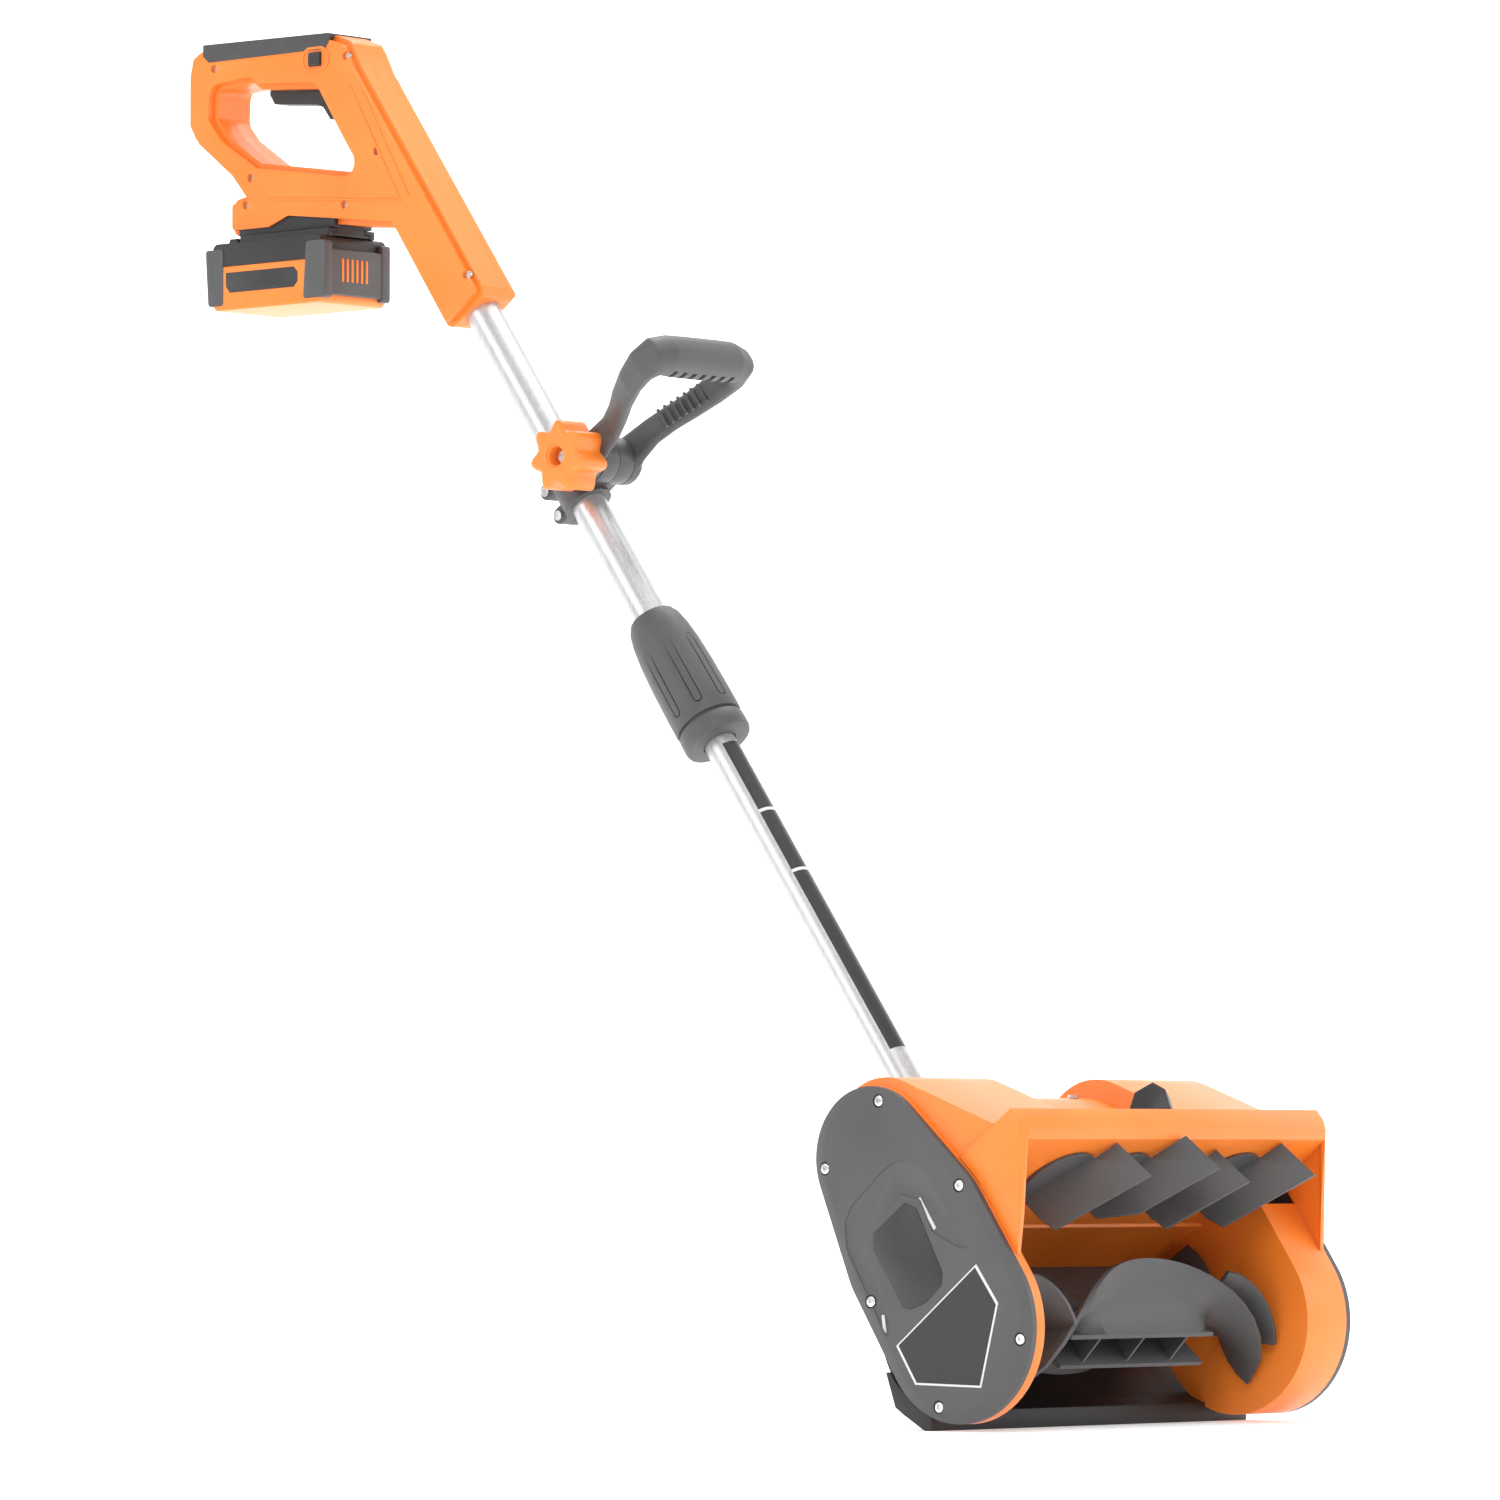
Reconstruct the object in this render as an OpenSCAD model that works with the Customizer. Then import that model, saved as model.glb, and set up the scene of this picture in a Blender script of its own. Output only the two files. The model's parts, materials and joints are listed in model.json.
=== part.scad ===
// Cordless single stage snow thrower on a telescopic pole.
// Head with a paddle auger and four turning vanes, D handle with a slide-on
// battery, and a loop handle on a clamp. +Z is up, the snow leaves towards -Y,
// and the origin is on the ground under the middle of the scraper's edge.

/* [Head] */
// Width over the two side covers
cover_span = 344; // [310:2:420]
// Thickness of a side cover
cover_t = 7; // [5:0.5:10]
// Thickness of the end case on the plain side
plain_case_t = 8; // [7:0.5:14]
// Thickness of the end case that holds the belt
belt_case_t = 43; // [38:1:50]
// Wall of the housing mouldings
wall = 3; // [2:0.5:4]
// Height of the line where the upper hood meets the housing
split_z = 150; // [145:1:156]
// Gap left between mouldings that meet without touching
seam = 0.3; // [0.2:0.1:0.6]

/* [Auger] */
// Diameter over the auger's flights
auger_d = 108; // [90:1:110]
// Clearance between the flights and the trough
auger_gap = 9; // [5:0.5:10]
// Place of the auger's axis, from the scraper's edge towards the operator
auger_y = -18; // [-22:1:-14]
// Height of the auger's axis
auger_z = 74; // [70:1:82]
// Diameter of the auger's shaft
shaft_d = 12; // [10:1:14]
// Diameter of the auger's hub
hub_d = 30; // [24:1:36]
// Thickness of a flight
flight_t = 3; // [2:0.5:4]
// Angle above level at which the front flight's arch tops out
arch_top = 47.5; // [40:0.5:56]

/* [Drive] */
// Diameter of the motor's can
motor_d = 50; // [40:1:52]
// Length of the motor's can
motor_l = 82; // [60:1:90]
// Place of the motor's axis, from the scraper's edge towards the operator
motor_y = 40; // [36:1:44]
// Height of the motor's axis
motor_z = 182; // [178:1:186]
// Diameter of the motor's shaft
motor_shaft_d = 8; // [6:1:10]
// Pitch diameter of the belt's small pulley
small_pulley_d = 24; // [20:1:28]
// Pitch diameter of the belt's large pulley
large_pulley_d = 84; // [70:1:90]
// Width of the belt
belt_w = 10; // [8:1:14]

/* [Chute] */
// Slope of the chute's roof, rising to the front
roof_slope = 36; // [33:1:38]
// Place of the roof's front lip, from the scraper's edge towards the operator
lip_y = -80; // [-86:1:-76]
// Height of the roof's front lip
lip_z = 194; // [190:1:200]
// Thickness of the hollow roof, square to its slope
roof_t = 23; // [20:1:26]
// Distance between neighbouring vanes
vane_pitch = 58.7; // [50:0.1:64]
// Distance from the lip down the roof to the vanes' pivots
vane_row = 43; // [38:1:48]
// Distance from the lip down the roof to the lever's pivot
lever_row = 20; // [18:1:22]
// Radius of a vane's disc
disc_r = 28.5; // [20:0.5:29]
// Height of a vane's blade
vane_h = 33; // [24:1:38]
// Angle that the vanes are set at, to the operator's left
vane_set = 33; // [0:1:35]
// Radius of the vanes' cranks
crank_r = 9; // [7:1:11]

/* [Scraper] */
// Length of the scraper along the ground
scraper_l = 334; // [300:2:410]
// Width of the flat edge that rests on the ground
foot_w = 6; // [4:1:8]

/* [Pole] */
// Lean of the pole from upright
pole_lean = 35.9; // [30:0.1:42]
// Outer diameter of the lower tube
lower_d = 23.5; // [20:0.5:28]
// Wall of both tubes
tube_t = 1.2; // [1:0.1:2]
// Radial clearance between the two tubes
tube_fit = 0.05; // [0.03:0.01:0.1]
// Length of the lower tube that shows between the head and the lock sleeve
pole_show = 290; // [240:1:340]
// Length of the lower tube inside the upper tube
tube_overlap = 145; // [120:1:180]
// Length of the upper tube below the D handle
upper_show = 390; // [330:1:450]
// Length of the twist lock sleeve
sleeve_l = 112; // [100:1:130]
// Diameter of the twist lock sleeve
sleeve_d = 50; // [44:1:56]

/* [D handle] */
// Width of the handle's shells
handle_w = 44; // [38:1:50]
// Wall of the handle's shells
handle_t = 3; // [2:0.5:4]
// Radius of the handle's collar around the pole
collar_r = 22; // [20:1:25]

/* [Battery] */
// Width of the battery
pack_w = 68; // [60:1:76]
// Length of the battery
pack_l = 121; // [110:1:130]
// Height of the battery
pack_h = 50; // [46:1:56]
// Diameter of a cell
cell_d = 18.4; // [17:0.1:20]

/* [Loop handle] */
// Distance up the pole from the head datum to the clamp
clamp_s = 508; // [460:1:560]
// Width over the loop
loop_w = 122; // [100:1:140]
// Reach from the pivot to the middle of the grip bar
loop_reach = 112; // [90:1:130]
// Rise of the loop's arm above level, leaning to the front
loop_rise = 36.5; // [20:0.5:60]
// Diameter of the star knob
knob_d = 52; // [44:1:60]

/* [Hidden] */
$fn = 64;
eps = 0.02;

// Colours
orange = [0.93, 0.42, 0.10];
charcoal = [0.27, 0.27, 0.28];
black = [0.08, 0.08, 0.09];
steel = [0.72, 0.73, 0.75];
alloy = [0.86, 0.87, 0.88];
brass = [0.80, 0.62, 0.28];

// ---- Head: derived places -------------------------------------------------
case_x = cover_span / 2 - cover_t;
trough_r = auger_d / 2 + auger_gap;
left_x = case_x - plain_case_t;
right_x = case_x - belt_case_t;
mid_x = (right_x - left_x) / 2;
hood_w = cover_span - 18;
// The side outline is the skin of three circles: [y, z, radius]
case_low = [auger_y - 10, auger_z - 4, trough_r + 2];
case_mid = [auger_y + 27, auger_z + 51, trough_r + 1];
case_top = [auger_y + 67, auger_z + 107, trough_r - 14.5];
hump_rise = 6;
deck_drop = 7;

// Height of the roof's underside at a given y
function roof_z(y) = lip_z - tan(roof_slope) * (y - lip_y);
// Height of the roof's top surface at a given y
function roof_top_z(y) = roof_z(y) + roof_t / cos(roof_slope);
// Where the roof's nose meets its top surface
nose_y = lip_y + 11;

// Extrudes a side outline, Y across and Z up, from x0 to x1
module along_x(x0, x1) translate([x0, 0, 0]) rotate([90, 0, 90]) linear_extrude(x1 - x0) children();

// Repeats its children on both sides
module both_sides() {
    children();
    mirror([1, 0, 0]) children();
}

// Angle of the outward normal where the skin runs from circle a to circle b
function skin_angle(a, b) = atan2(b[1] - a[1], b[0] - a[0])
    - acos((a[2] - b[2]) / norm([b[0] - a[0], b[1] - a[1]]));
// Points of the skin around circles named in anticlockwise order
function skin(cs, grow = 0) = [for (i = [0:len(cs) - 1]) let (
        c = cs[i],
        from = skin_angle(cs[(i + len(cs) - 1) % len(cs)], c),
        to = skin_angle(c, cs[(i + 1) % len(cs)]),
        sweep = to - from - 360 * floor((to - from) / 360),
        steps = ceil(sweep / 6) + 1)
    each [for (k = [0:steps]) let (a = from + sweep * k / steps)
        [c[0] + (c[2] + grow) * cos(a), c[1] + (c[2] + grow) * sin(a)]]];

// The outline of the end cases and their covers
module case_outline(grow = 0) polygon(skin([case_low, case_mid, case_top, case_mid], grow));

// The open space of the auger chamber and the chute under the roof
module chamber_outline() {
    translate([auger_y, auger_z]) circle(r = trough_r);
    polygon([[0, -20], [-200, -20], [-200, roof_z(-200)], [0, roof_z(0)], [auger_y, auger_z],
        [0, auger_z - trough_r]]);
    // Room for the scraper
    translate([-1, -20]) square([200, 20 + scraper_top]);
}

// Where the six screws of a side cover sit: [y, z], from a circle and an angle for each
cover_screw_places = [for (p = [[case_top, 103], [case_top, -10], [case_mid, 136], [case_mid, -46],
        [case_low, 188], [case_low, -74.5]])
    [p[0][0] + (p[0][2] - 9) * cos(p[1]), p[0][1] + (p[0][2] - 9) * sin(p[1])]];
cover_screw_r = 2;
cover_head_r = 3.8;
boss_r = 5;

// Place of the two bearings and the shaft
bearing_r = 14;
bearing_w = 8;
bearing_boss_r = bearing_r + wall + 1;
shaft_fit = 0.04;

// Belt
belt_x = right_x + wall + 16;
belt_t = 2;

// Height at which the scraper's curved top hands over to the housing's trough
scraper_top = 38.7;

// ---- Head: pieces ----------------------------------------------------------
socket_r = lower_d / 2 + 6;
socket_s = [-195, -70];

// One end case on the +X side: inner wall, bearing boss and screw bosses
module end_case(inner) {
    along_x(inner, inner + wall) intersection() {
        case_outline(-wall + eps);
        translate([-300, split_z - 300]) square([600, 300]);
    }
    translate([inner + wall - eps, auger_y, auger_z]) rotate([0, 90, 0])
        cylinder(r = bearing_boss_r, h = bearing_w);
    for (p = cover_screw_places) translate([inner + wall - eps, p[0], p[1]])
        rotate([0, 90, 0]) cylinder(r = boss_r, h = case_x - inner - wall);
}
// The ways through it: shaft, bearing seat and screw holes
module end_case_ways(inner, depth) {
    translate([inner - 1, auger_y, auger_z]) rotate([0, 90, 0]) cylinder(r = shaft_d / 2 + 2, h = 30);
    translate([inner + wall, auger_y, auger_z]) rotate([0, 90, 0]) cylinder(r = bearing_r, h = 30);
    for (p = cover_screw_places) translate([case_x - depth, p[0], p[1]]) rotate([0, 90, 0])
        cylinder(r = cover_screw_r, h = depth + 5);
}
module auger_housing() color(orange) difference() {
    union() {
        difference() {
            along_x(-case_x, case_x) difference() {
                case_outline();
                case_outline(-wall);
                translate([-300, split_z]) square([600, 300]);
            }
            along_x(-left_x, right_x) chamber_outline();
        }
        end_case(right_x);
        mirror([1, 0, 0]) end_case(left_x);
        along_x(-left_x - eps, right_x + eps) intersection() {
            translate([auger_y, auger_z]) difference() {
                circle(r = trough_r + wall);
                circle(r = trough_r);
            }
            translate([0, scraper_top]) square([300, 300]);
        }
    }
    end_case_ways(right_x, 20);
    mirror([1, 0, 0]) end_case_ways(left_x, plain_case_t - 1.5);
    // Clear way for the motor's shaft and screws
    translate([right_x - 1, motor_y, motor_z]) rotate([0, 90, 0]) {
        cylinder(r = motor_shaft_d / 2 + 3, h = wall + 2);
        for (a = [0, 180]) rotate(a) translate([0, motor_d * 0.34, 0]) cylinder(r = 2, h = wall + 2);
    }
    // Seat of the pole socket
    on_pole(socket_s[0] - 5) cylinder(r = socket_r + seam, h = 250);
    // Holes of the scraper's screws
    at_scraper_screws() translate([0, 0, trough_r - 1]) cylinder(r = 2, h = wall + 2);
}

// Upper hood: a low deck between two humps
hump_x = [62, case_x - 7];
hump_nose = [lip_y + 34, roof_top_z(lip_y + 34) + 3, 5];
module hump_outline(grow = 0) polygon(skin([case_low, case_mid, case_top,
    [case_top[0] - 5, case_top[1] + hump_rise, case_top[2]], hump_nose], grow));
// The deck stops further back than the humps, clear of the lever
deck_nose = [lip_y + 52, roof_top_z(lip_y + 52) + 3, 5];
module deck_outline(grow = 0) polygon(skin([case_low, case_mid,
    [case_top[0], case_top[1] - deck_drop, case_top[2]], deck_nose], grow));
module above_roof() intersection() {
    translate([-300, split_z]) square([600, 300]);
    polygon([[-200, roof_top_z(-200) + seam], [60, roof_top_z(60) + seam], [300, 0], [300, 400],
        [-200, 400]]);
}
module motor_hood() color(orange) difference() {
    union() {
        along_x(-hump_x[0], hump_x[0]) intersection() {
            difference() {
                deck_outline();
                deck_outline(-wall);
            }
            above_roof();
        }
        both_sides() {
            along_x(hump_x[0] - eps, hump_x[1] + eps) intersection() {
                difference() {
                    hump_outline();
                    hump_outline(-wall);
                }
                above_roof();
            }
            along_x(hump_x[0] - wall / 2, hump_x[0] + wall / 2) intersection() {
                difference() {
                    hump_outline();
                    deck_outline(-wall);
                }
                above_roof();
            }
            along_x(hump_x[1], hump_x[1] + wall / 2) intersection() {
                difference() {
                    hump_outline();
                    case_outline(-wall);
                }
                above_roof();
            }
            along_x(hump_x[1], case_x) intersection() {
                difference() {
                    case_outline();
                    case_outline(-wall);
                }
                translate([-300, split_z]) square([600, 300]);
            }
        }
    }
    // The socket, the chute's roof and the lever stay clear
    on_pole(socket_s[0] - 5) cylinder(r = socket_r + seam, h = 250);
    along_x(-hood_w / 2 - seam, hood_w / 2 + seam) polygon([[-200, -50], [-200, roof_top_z(-200) + seam],
        [40, roof_top_z(40) + seam], [-10, -50]]);
    both_sides() for (p = hood_screw_places) translate([p[0], p[1], p[2] - 14])
        cylinder(r = cover_screw_r + 0.2, h = 40);
}

// Hood screws stand on the deck's rear: [x, y, z of the seat]
hood_screw_places = [[38, case_top[0] - 4, case_top[1] - deck_drop + case_top[2] - 2]];

module hood_screws() color(steel) both_sides() for (p = hood_screw_places)
    translate([p[0], p[1], p[2]]) {
        translate([0, 0, 2]) cylinder(r = cover_head_r, h = 2.2);
        translate([0, 0, -12]) cylinder(r = cover_screw_r, h = 14.5);
    }

// Chute hood: hollow roof with its nose, and side plates down to the end cases
module roof_outline() polygon([[lip_y, lip_z], [lip_y - 1, lip_z + 6.6], [nose_y, roof_top_z(nose_y)],
    [nose_y + 58, roof_top_z(nose_y + 58)], [-1, roof_z(-1)]]);
module roof_hollow() polygon([[lip_y + wall, roof_z(lip_y + wall) + wall / cos(roof_slope)],
    [lip_y + wall - 1, lip_z + 6.6 - 0.5], [nose_y + 1.5, roof_top_z(nose_y + 1.5) - wall / cos(roof_slope)],
    [nose_y + 62, roof_top_z(nose_y + 62) - wall / cos(roof_slope)],
    [6, roof_z(6) + wall / cos(roof_slope)]]);
// The hood's plan, with its two front corners cut back
hood_cut = [5, 5];
module hood_plan(inset = 0) linear_extrude(400) offset(delta = -inset) polygon([[-hood_w / 2, 60],
    [-hood_w / 2, lip_y + hood_cut[1]], [-hood_w / 2 + hood_cut[0], lip_y - 1],
    [hood_w / 2 - hood_cut[0], lip_y - 1], [hood_w / 2, lip_y + hood_cut[1]], [hood_w / 2, 60]]);
module chute_hood() color(orange) difference() {
    union() {
        difference() {
            intersection() {
                along_x(-hood_w / 2, hood_w / 2) roof_outline();
                hood_plan();
            }
            intersection() {
                along_x(-hood_w / 2, hood_w / 2) roof_hollow();
                hood_plan(wall);
            }
        }
        intersection() {
            along_x(-hood_w / 2, hood_w / 2) polygon([[lip_y, lip_z + 1], [lip_y + 6, 112], [lip_y + 40, 112],
                [lip_y + 40, roof_z(lip_y + 40) + 1]]);
            difference() {
                hood_plan();
                hood_plan(wall);
                translate([-hood_w / 2 + hood_cut[0], -200, 0]) cube([hood_w - 2 * hood_cut[0], 400, 400]);
            }
        }
    }
    // The end cases pass through the roof's ends
    along_x(right_x - seam, cover_span) case_outline(seam);
    along_x(-cover_span, -left_x + seam) case_outline(seam);
    // Vane studs and the lever's slot
    for (k = [0:3]) on_roof(vane_x(k), vane_row) translate([0, 0, -1])
        cylinder(r = stud_r + stud_fit, h = wall + 2);
    on_roof(0, lever_row) {
        translate([0, 0, -1]) cylinder(r = stud_r + stud_fit, h = wall + 2);
        translate([0, 0, roof_t / 2]) cylinder(r = stud_r + 2, h = roof_t);
    }
}

// Side cover: a shallow tray, hollow towards its end case
module side_cover() difference() {
    along_x(case_x, cover_span / 2) case_outline();
    along_x(case_x - 1, cover_span / 2 - wall) case_outline(-wall);
    for (p = cover_screw_places) translate([0, p[0], p[1]]) rotate([0, 90, 0]) {
        cylinder(r = cover_screw_r + 0.3, h = cover_span);
        translate([0, 0, cover_span / 2 - 1.5]) cylinder(r = cover_head_r + 0.3, h = 5);
    }
}
module cover_bosses() difference() {
    for (p = cover_screw_places) translate([case_x, p[0], p[1]]) rotate([0, 90, 0])
        cylinder(r = boss_r, h = cover_t - wall + eps);
    for (p = cover_screw_places) translate([0, p[0], p[1]]) rotate([0, 90, 0])
        cylinder(r = cover_screw_r + 0.3, h = cover_span);
}
module right_side_cover() color(charcoal) union() {
    side_cover();
    cover_bosses();
}
module left_side_cover() color(charcoal) mirror([1, 0, 0]) union() {
    side_cover();
    cover_bosses();
}
module cover_screws(depth) for (p = cover_screw_places) translate([0, p[0], p[1]]) rotate([0, 90, 0]) {
    translate([0, 0, cover_span / 2 - 1.5]) cylinder(r = cover_head_r, h = 1.5);
    translate([0, 0, case_x - depth]) cylinder(r = cover_screw_r, h = depth + cover_t - 1);
}
module right_cover_screws() color(steel) cover_screws(12);
module left_cover_screws() color(steel) mirror([1, 0, 0]) cover_screws(plain_case_t - 2);

// Scraper: the trough's lower part, a flat edge at the front and a curved heel behind
scraper_lip = 4;
scraper_angle = -24;
scraper_screw_x = [for (i = [-1.5:1:1.5]) mid_x + i * 60];
// Repeats its children at the scraper's screws, with Z out from the auger's axis
module at_scraper_screws() for (x = scraper_screw_x) translate([x, auger_y, auger_z])
    rotate([scraper_angle - 90, 0, 0]) children();
module scraper_bar() color(black) difference() {
    union() {
        along_x(-scraper_l / 2, scraper_l / 2) intersection() {
            polygon([[-foot_w / 2, 0], [foot_w / 2, 0], [20.5, 9.6], [29, 15], [38, 40], [0, 50],
                [-foot_w / 2, 50]]);
            translate([-50, 0]) square([100, scraper_top - seam]);
        }
        // Lip that laps the back of the housing's trough
        along_x(-left_x + seam, right_x - seam) intersection() {
            translate([auger_y, auger_z]) difference() {
                circle(r = trough_r + wall + scraper_lip, $fn = 120);
                circle(r = trough_r + wall, $fn = 120);
            }
            translate([10, scraper_top - 6]) square([100, 22]);
        }
    }
    along_x(-200, 200) {
        translate([auger_y, auger_z]) circle(r = trough_r, $fn = 120);
        // The bar's front stops where its curved top begins
        polygon([[-60, auger_z - trough_r + 3], [0, auger_z - trough_r + 3], [0, 60], [-60, 60]]);
    }
    along_x(right_x - seam, cover_span) case_outline(seam);
    along_x(-cover_span, -left_x + seam) case_outline(seam);
    at_scraper_screws() translate([0, 0, trough_r]) cylinder(r = 2.2, h = 20);
}
module scraper_screws() color(steel) at_scraper_screws() {
    translate([0, 0, trough_r + 0.3]) cylinder(r = 2, h = wall + scraper_lip + 0.5);
    translate([0, 0, trough_r + wall + scraper_lip]) cylinder(r = 4, h = 2.5);
}

module bearing(inner) translate([inner + wall, auger_y, auger_z]) rotate([0, 90, 0]) difference() {
    cylinder(r = bearing_r, h = bearing_w);
    translate([0, 0, -1]) cylinder(r = shaft_d / 2 + shaft_fit, h = bearing_w + 2);
}
module right_bearing() color(steel) bearing(right_x);
module left_bearing() color(steel) mirror([1, 0, 0]) bearing(left_x);

// Motor, hung on the right inner wall
module motor_can() color(steel) translate([right_x, motor_y, motor_z]) rotate([0, -90, 0]) difference() {
    union() {
        cylinder(d = motor_d, h = motor_l);
        cylinder(d = motor_d * 0.4, h = motor_l + 3);
    }
    translate([0, 0, -1]) cylinder(r = motor_shaft_d / 2 + shaft_fit, h = motor_l + 6);
    for (a = [0, 180]) rotate(a) translate([0, motor_d * 0.34, -1]) cylinder(r = 1.9, h = 9);
}
module motor_screws() color(steel) translate([right_x + wall, motor_y, motor_z]) rotate([0, 90, 0])
    for (a = [0, 180]) rotate(a) translate([0, motor_d * 0.34, 0]) {
        cylinder(r = 3.5, h = 2);
        translate([0, 0, -wall - 7]) cylinder(r = 1.9, h = wall + 7);
    }
module motor_shaft() color(steel) translate([right_x, motor_y, motor_z]) rotate([0, 90, 0])
    translate([0, 0, -motor_l - 20])
        cylinder(d = motor_shaft_d, h = motor_l + 20 + belt_x - right_x + belt_w / 2 + 3);
module motor_pulley() color(steel) pulley(motor_y, motor_z, small_pulley_d, motor_shaft_d);
module motor_fan() color(black) translate([right_x - motor_l - 16, motor_y, motor_z]) rotate([0, 90, 0]) {
    difference() {
        union() {
            cylinder(d = 16, h = 10);
            cylinder(d = motor_d - 6, h = 1.6);
            for (k = [0:8]) rotate(40 * k) translate([6, -0.8, 0]) cube([motor_d / 2 - 10, 1.6, 9]);
        }
        translate([0, 0, -1]) cylinder(d = motor_shaft_d, h = 14);
    }
}

// A flanged belt pulley on an X axis
module pulley(y, z, d, bore) translate([belt_x - belt_w / 2 - 2, y, z]) rotate([0, 90, 0]) difference() {
    union() {
        cylinder(d = d - belt_t, h = belt_w + 4);
        for (h = [0, belt_w + 2.6]) translate([0, 0, h]) cylinder(d = d + 4, h = 1.4);
    }
    translate([0, 0, -1]) cylinder(d = bore, h = belt_w + 8);
}
module belt_outline(grow) polygon(skin([[auger_y, auger_z, large_pulley_d / 2],
    [motor_y, motor_z, small_pulley_d / 2]], grow));
module drive_belt() color(black) along_x(belt_x - belt_w / 2 + 0.3, belt_x + belt_w / 2 - 0.3) difference() {
    belt_outline(belt_t / 2);
    belt_outline(-belt_t / 2 + 0.3);
}

// Places a piece along the pole: Z runs up the pole and -Y faces front and up
pole_y = 178;
pole_z = 253;
module on_pole(s) translate([0, pole_y, pole_z]) rotate([-pole_lean, 0, 0]) translate([0, 0, s]) children();

// Socket that takes the foot of the pole
module pole_socket() color(orange) difference() {
    on_pole(socket_s[0]) cylinder(r = socket_r, h = socket_s[1] - socket_s[0]);
    on_pole(socket_s[0] + wall) cylinder(r = lower_d / 2, h = 300);
    along_x(-50, 50) translate([auger_y, auger_z]) circle(r = trough_r + wall);
}
sleeve_s = pole_show - 16;
overlap_s = pole_show - 4;
module lower_tube() color(alloy) on_pole(socket_s[0] + wall) difference() {
    cylinder(d = lower_d, h = overlap_s + tube_overlap - socket_s[0] - wall);
    translate([0, 0, -1]) cylinder(d = lower_d - 2 * tube_t, h = 1000);
}

// ---- Auger -------------------------------------------------------------------
sheet_steps = 26;
sheet_rings = 4;
// Middle of the arch, off the chamber's middle, and its half width
arch_x = -5;
arch_w = 125;
// Angle of the arch's edge above level at a given distance from its middle
function arch(dx) = arch_top - 160 * (1 - sqrt(1 - pow(dx / (arch_w + 5), 2)));
// The shelf under the arch: its angle, its radius and its two ends
shelf_angle = -14;
shelf_r = auger_d / 2 - 4;
shelf_x = [-98, 48];
// How far the flight fills forward to the shelf at a given x: all over the shelf, none at the ends
function fill_share(x) = let (u = max(0, min(1, min((x - shelf_x[0] + 8) / 34, (shelf_x[1] + 34 - x) / 44))))
    u * u * (3 - 2 * u);
function polar_yz(r, a) = [-r * cos(a), r * sin(a)];
// A point of the flight's middle surface: s runs from the arch's edge inwards
function flight_mid(x, s) = let (
        e = arch(x - arch_x),
        hub_point = polar_yz(auger_d / 2 - (auger_d / 2 - hub_d / 2 + 2) * s, e - 24 * s),
        fill_point = polar_yz(auger_d / 2 - 5 * s - 11 * sin(180 * s), e + (shelf_angle - e) * s),
        w = fill_share(x),
        p = hub_point * (1 - w) + fill_point * w)
    [x, p[0], p[1]];
// A point of a short flight between two sides of the hub
function short_mid(x0, x1, a0, a1, k, s) = let (
        p = polar_yz(auger_d / 2 - (auger_d / 2 - hub_d / 2 + 2) * s, a0 + (a1 - a0) * pow(k, 1.5) - 20 * s))
    [x0 + (x1 - x0) * pow(k, 0.7), p[0], p[1]];
function unit(v) = v / norm(v);
// Closes a sheet of flight_t thickness around rows of middle points
module sheet(rows) {
    n = len(rows);
    m = len(rows[0]);
    function normal(i, j) = unit(cross(rows[min(i + 1, n - 1)][j] - rows[max(i - 1, 0)][j],
        rows[i][min(j + 1, m - 1)] - rows[i][max(j - 1, 0)]));
    grid = [for (side = [-1, 1]) for (i = [0:n - 1]) for (j = [0:m - 1])
        rows[i][j] + side * flight_t / 2 * normal(i, j)];
    q = n * m;
    faces = concat(
        [for (i = [0:n - 2]) for (j = [0:m - 2]) let (a = i * m + j) each
            [[a, a + m, a + 1], [a + 1, a + m, a + m + 1],
             [q + a, q + a + 1, q + a + m], [q + a + 1, q + a + m + 1, q + a + m]]],
        [for (i = [0:n - 2]) for (e = [0, m - 1]) let (a = i * m + e, b = a + m) each
            (e == 0 ? [[a, q + a, b], [b, q + a, q + b]] : [[a, b, q + a], [b, q + b, q + a]])],
        [for (j = [0:m - 2]) for (e = [0, n - 1]) let (a = e * m + j, b = a + 1) each
            (e == 0 ? [[a, b, q + a], [b, q + b, q + a]] : [[a, q + a, b], [b, q + a, q + b]])]);
    translate([0, auger_y, auger_z]) polyhedron(points = grid, faces = faces, convexity = 6);
}
module flights() {
    sheet([for (i = [0:sheet_steps]) let (x = arch_x + arch_w * 0.985 * (2 * i / sheet_steps - 1))
        [for (j = [0:sheet_rings]) flight_mid(x, j / sheet_rings)]]);
    sheet([for (i = [0:8]) [for (j = [0:2]) short_mid(-136, -99, 35, -4, i / 8, j / 2)]]);
    sheet([for (i = [0:8]) [for (j = [0:2]) short_mid(73, 118, 34, -22, i / 8, j / 2)]]);
}
module auger_front_half() color(charcoal) auger_body(0);
module auger_rear_half() color(charcoal) auger_body(180);
hub_x = [-left_x + 3, right_x - 3];
web_angles = [shelf_angle, shelf_angle - 26];
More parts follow.
